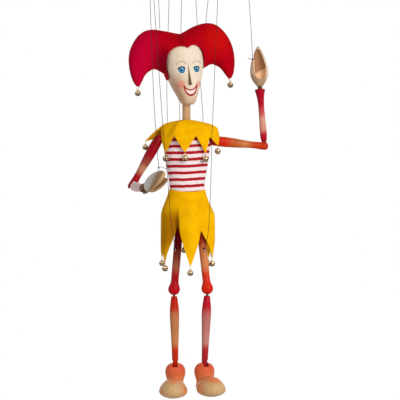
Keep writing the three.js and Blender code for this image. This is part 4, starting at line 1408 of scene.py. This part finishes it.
def collarPoint(turn, share):
    values = collarValues
    count = len(values["tipAzimuths"])
    before = int(turn) % count
    part = turn - int(turn)
    rising = part > 0.5
    tip = (before + 1) % count if rising else before
    reach = abs(2 * part - 1)
    wrap = 360 if rising and before + 1 == count else 0
    azimuth = math.radians(lerp(values["notchAzimuths"][before], values["tipAzimuths"][tip] + wrap, reach))
    half = lerp(values["notchReaches"][before], values["tipReaches"][tip], reach)
    hem = lerp(values["notchHeights"][before], values["tipHeights"][tip], reach)
    across, ahead = math.sin(azimuth), -math.cos(azimuth)
    start = Vector((-1 + values["neck"] * across, values["neck"] * ahead, values["top"]))
    bendHeight = values["top"] - values["bendDrop"]
    bend = Vector((values["bendReach"] * across, values["halfDepth"] * ahead, bendHeight))
    end = Vector((half * across, values["halfDepth"] * ahead, hem))
    return start * (1 - share) ** 2 + 2 * bend * share * (1 - share) + end * share ** 2


def skirtPoint(turn, share):
    values = skirtValues
    azimuth = turn * math.pi / 3
    part = turn - int(turn)
    reach = abs(2 * part - 1)
    tip = values["tipHeights"][round(turn) % 6]
    notch = values["notchHeights"][int(turn) % 6]
    hem = lerp(notch, tip, reach)
    z = lerp(values["waist"] + 1 - 4 * max(math.cos(azimuth), 0) ** 2, hem, share)
    drop = values["waist"] - z
    fold = values["fold"] * math.cos(azimuth * 6) * ease(drop, 5, 60)
    # the panel beside the front one is tucked in behind its edge
    tuck = ease(turn, 5.02, 5.46) * (1 - ease(turn, 5.47, 5.56))
    tuck += 0.5 * ease(turn, 0.3, 0.5) * (1 - ease(turn, 0.5, 0.8))
    fold -= 6.5 * tuck * ease(drop, 24, 66)
    halfX = lerp(values["waistHalf"][0], values["hemHalf"][0], ease(drop, -3, 42)) + fold
    halfX += values["bulge"] * max(math.sin(azimuth), 0) * ease(drop, 20, 46) * (1 - ease(drop, 78, 106))
    halfY = lerp(values["waistHalf"][1], values["hemHalf"][1], ease(drop, -3, 42)) + fold
    return Vector((halfX * math.sin(azimuth), -halfY * math.cos(azimuth), z))


def leatherSheet(name, position, points, rows, columnsPerPoint):
    loops = []
    for row in range(rows + 1):
        turns = [column / columnsPerPoint for column in range(points * columnsPerPoint)]
        loops.append([figure(*position(turn, row / rows)) for turn in turns])
    piece = skin(name, loops)
    flatArea = sum(face.area for face in piece.data.polygons)
    applyModifier(piece, "SOLIDIFY", thickness=leatherValues["thickness"] * mm, offset=-1)
    return faceOut(piece), flatArea


def leatherFinish():
    finish = Finish("yellowSuede", 0.03)
    coords = finish.place()
    colour, fine, height = suede(finish, coords, 0.06, 0.5, 1.3, leatherValues["suede"])
    x, y, z = finish.parts(coords)
    around = x.maths("ARCTAN2", x, y * -1) * (180 / math.pi)
    beside = finish.step(around, -96, -60) * finish.step(around + (z - 272) * 0.12, -29.2, -31.2)
    high = finish.step(z, 320, 284) * finish.step(z, 222, 262, 0.35, 1)
    colour = finish.mix(beside * high * 0.74, colour, leatherValues["shade"])
    far = finish.step(around, -66, -96) * finish.step(z, 330, 300)
    colour = finish.mix(far * 0.35, colour, leatherValues["farShade"])
    return finish.surface(colour, 0.68 + fine * 0.2, height, 0.0004)


def addLeather():
    yellow = leatherFinish()
    collar, area = leatherSheet("cut_collar", collarPoint, points=8, rows=12, columnsPerPoint=16)
    stringHoles(collar)
    dressed(collar, yellow, "collar", 60)
    side = math.sqrt(area / 0.8)
    skirt, area = leatherSheet("cut_skirt", skirtPoint, points=6, rows=24, columnsPerPoint=20)
    dressed(skirt, yellow, "skirt", 60)
    area / 0.25 / 0.8


addLeather()
print("leather cut")

# Jingle bells

bellValues = {
    "radius": 4.9,
    "wall": 0.6,
    "hole": 1.1,
    "loop": 2.1,
    "wire": 0.5,
    "slit": 1.3,
    "brass": ("fae6c0", "a8855a", "58442c"),
    # the colour of the painted shade over each bell's lower half
    "below": "3c2a1c",
    "band": "241a12",
}
bellMiddle = -(bellValues["radius"] + 2 * bellValues["loop"] - bellValues["wire"])


def bellPattern():
    radius = bellValues["radius"]
    bell = ball(radius, at(0, 0, bellMiddle), 32, 20)
    cutWith(bell, ball(radius - bellValues["wall"], at(0, 0, bellMiddle), 24, 14))
    cutWith(bell, block(2 * radius + 2, bellValues["slit"], radius, 0, 0, bellMiddle - radius / 2 - 0.6))
    for end in (-1, 1):
        cutWith(bell, drum(bellValues["hole"], 4, "X", end * radius * 0.92, 0, bellMiddle - 0.6, 12))
    hold(bell)
    mode("EDIT")
    addRing(radius, 0.3, at(0, 0, bellMiddle))
    loop = bellValues["loop"] - bellValues["wire"]
    addRing(loop, bellValues["wire"], at(0, 0, bellMiddle + radius + 1.6), (0, math.pi / 2, 0))
    mode("OBJECT")
    own = bell.data.attributes.new("ownPlace", "FLOAT_VECTOR", "POINT")
    for vertex in bell.data.vertices:
        own.data[vertex.index].vector = vertex.co / mm
    return smoothed(bell, 35)


def brassFinish():
    finish = Finish("agedBrassPaintedLight", Metallic=1.0)
    coords = finish.node("ShaderNodeAttribute", {"attribute_name": "ownPlace"}, {}, "Vector")
    z = finish.parts(coords)[2]
    # pale and dark patches over the brass: tarnish, and painted reflections
    tarnishAndReflections = finish.noise(coords, 0.5, 4, 0.6, 0.4)
    fine = finish.noise(coords, 3.0, 3, 0.6)
    light, dark, spots = bellValues["brass"]
    colour = finish.mix(finish.step(tarnishAndReflections, 0.35, 0.62), light, dark)
    colour = finish.tint(colour, spots, fine, 0.5, 0.75, 0, 0.4)
    # painted shade: the lower half of the bell is darker
    low = finish.step(z + tarnishAndReflections * 3, bellMiddle + 2.2, bellMiddle - 2.8, 0, 0.65)
    colour = finish.mix(low, colour, bellValues["below"])
    colour = finish.tint(colour, bellValues["band"], abs(z - bellMiddle), 0.5, 1.1, 0.7, 0)
    return finish.surface(colour, 0.18 + tarnishAndReflections * 0.25, fine, 0.00015)


def addBells():
    brass = brassFinish()
    pattern = bellPattern()
    for joint in frame["joints"]:
        if joint["name"].endswith("_swing"):
            node = joint["child"]
            bell = named(linked("bell", pattern.data.copy()), "jingle_" + node)
            settle(bell, axes(Vector(joint["pos_m"]) / mm, joint["axis"], (0, 0, 1)))
            standFor(wear(bell, brass), node)
    bpy.data.objects.remove(pattern, do_unlink=True)


addBells()
print("bells hung")

# Tabs, pins and knots that the frame brings along

fittingValues = {
    "hide": ("6b4529", "3d2515"),
    "steel": ("a9a9a6", "6d6c69"),
}


def addFittings():
    hide = Finish("brownHide", 0.3)
    fleck = hide.noise(hide.place(), 1.2, 4, 0.6)
    brown = hide.surface(hide.mix(fleck, *fittingValues["hide"]), 0.75 + fleck * 0.15, fleck, 0.0003)
    steel = Finish("greySteel", Metallic=1.0)
    scratch = steel.noise(steel.stretched(steel.place(), (0.2, 2, 2)), 1.5, 3)
    grey = steel.surface(steel.mix(scratch, *fittingValues["steel"]), 0.3 + scratch * 0.25)
    looks = {"tab": brown, "pin": grey, "axle": grey, "knot": threads["dark"], "tail": threads["pale"]}
    for node, piece in frame["nodes"].items():
        kind = node.split("_")[-1]
        if kind in looks:
            wear(piece, looks[kind])


addFittings()
print("fittings dressed")
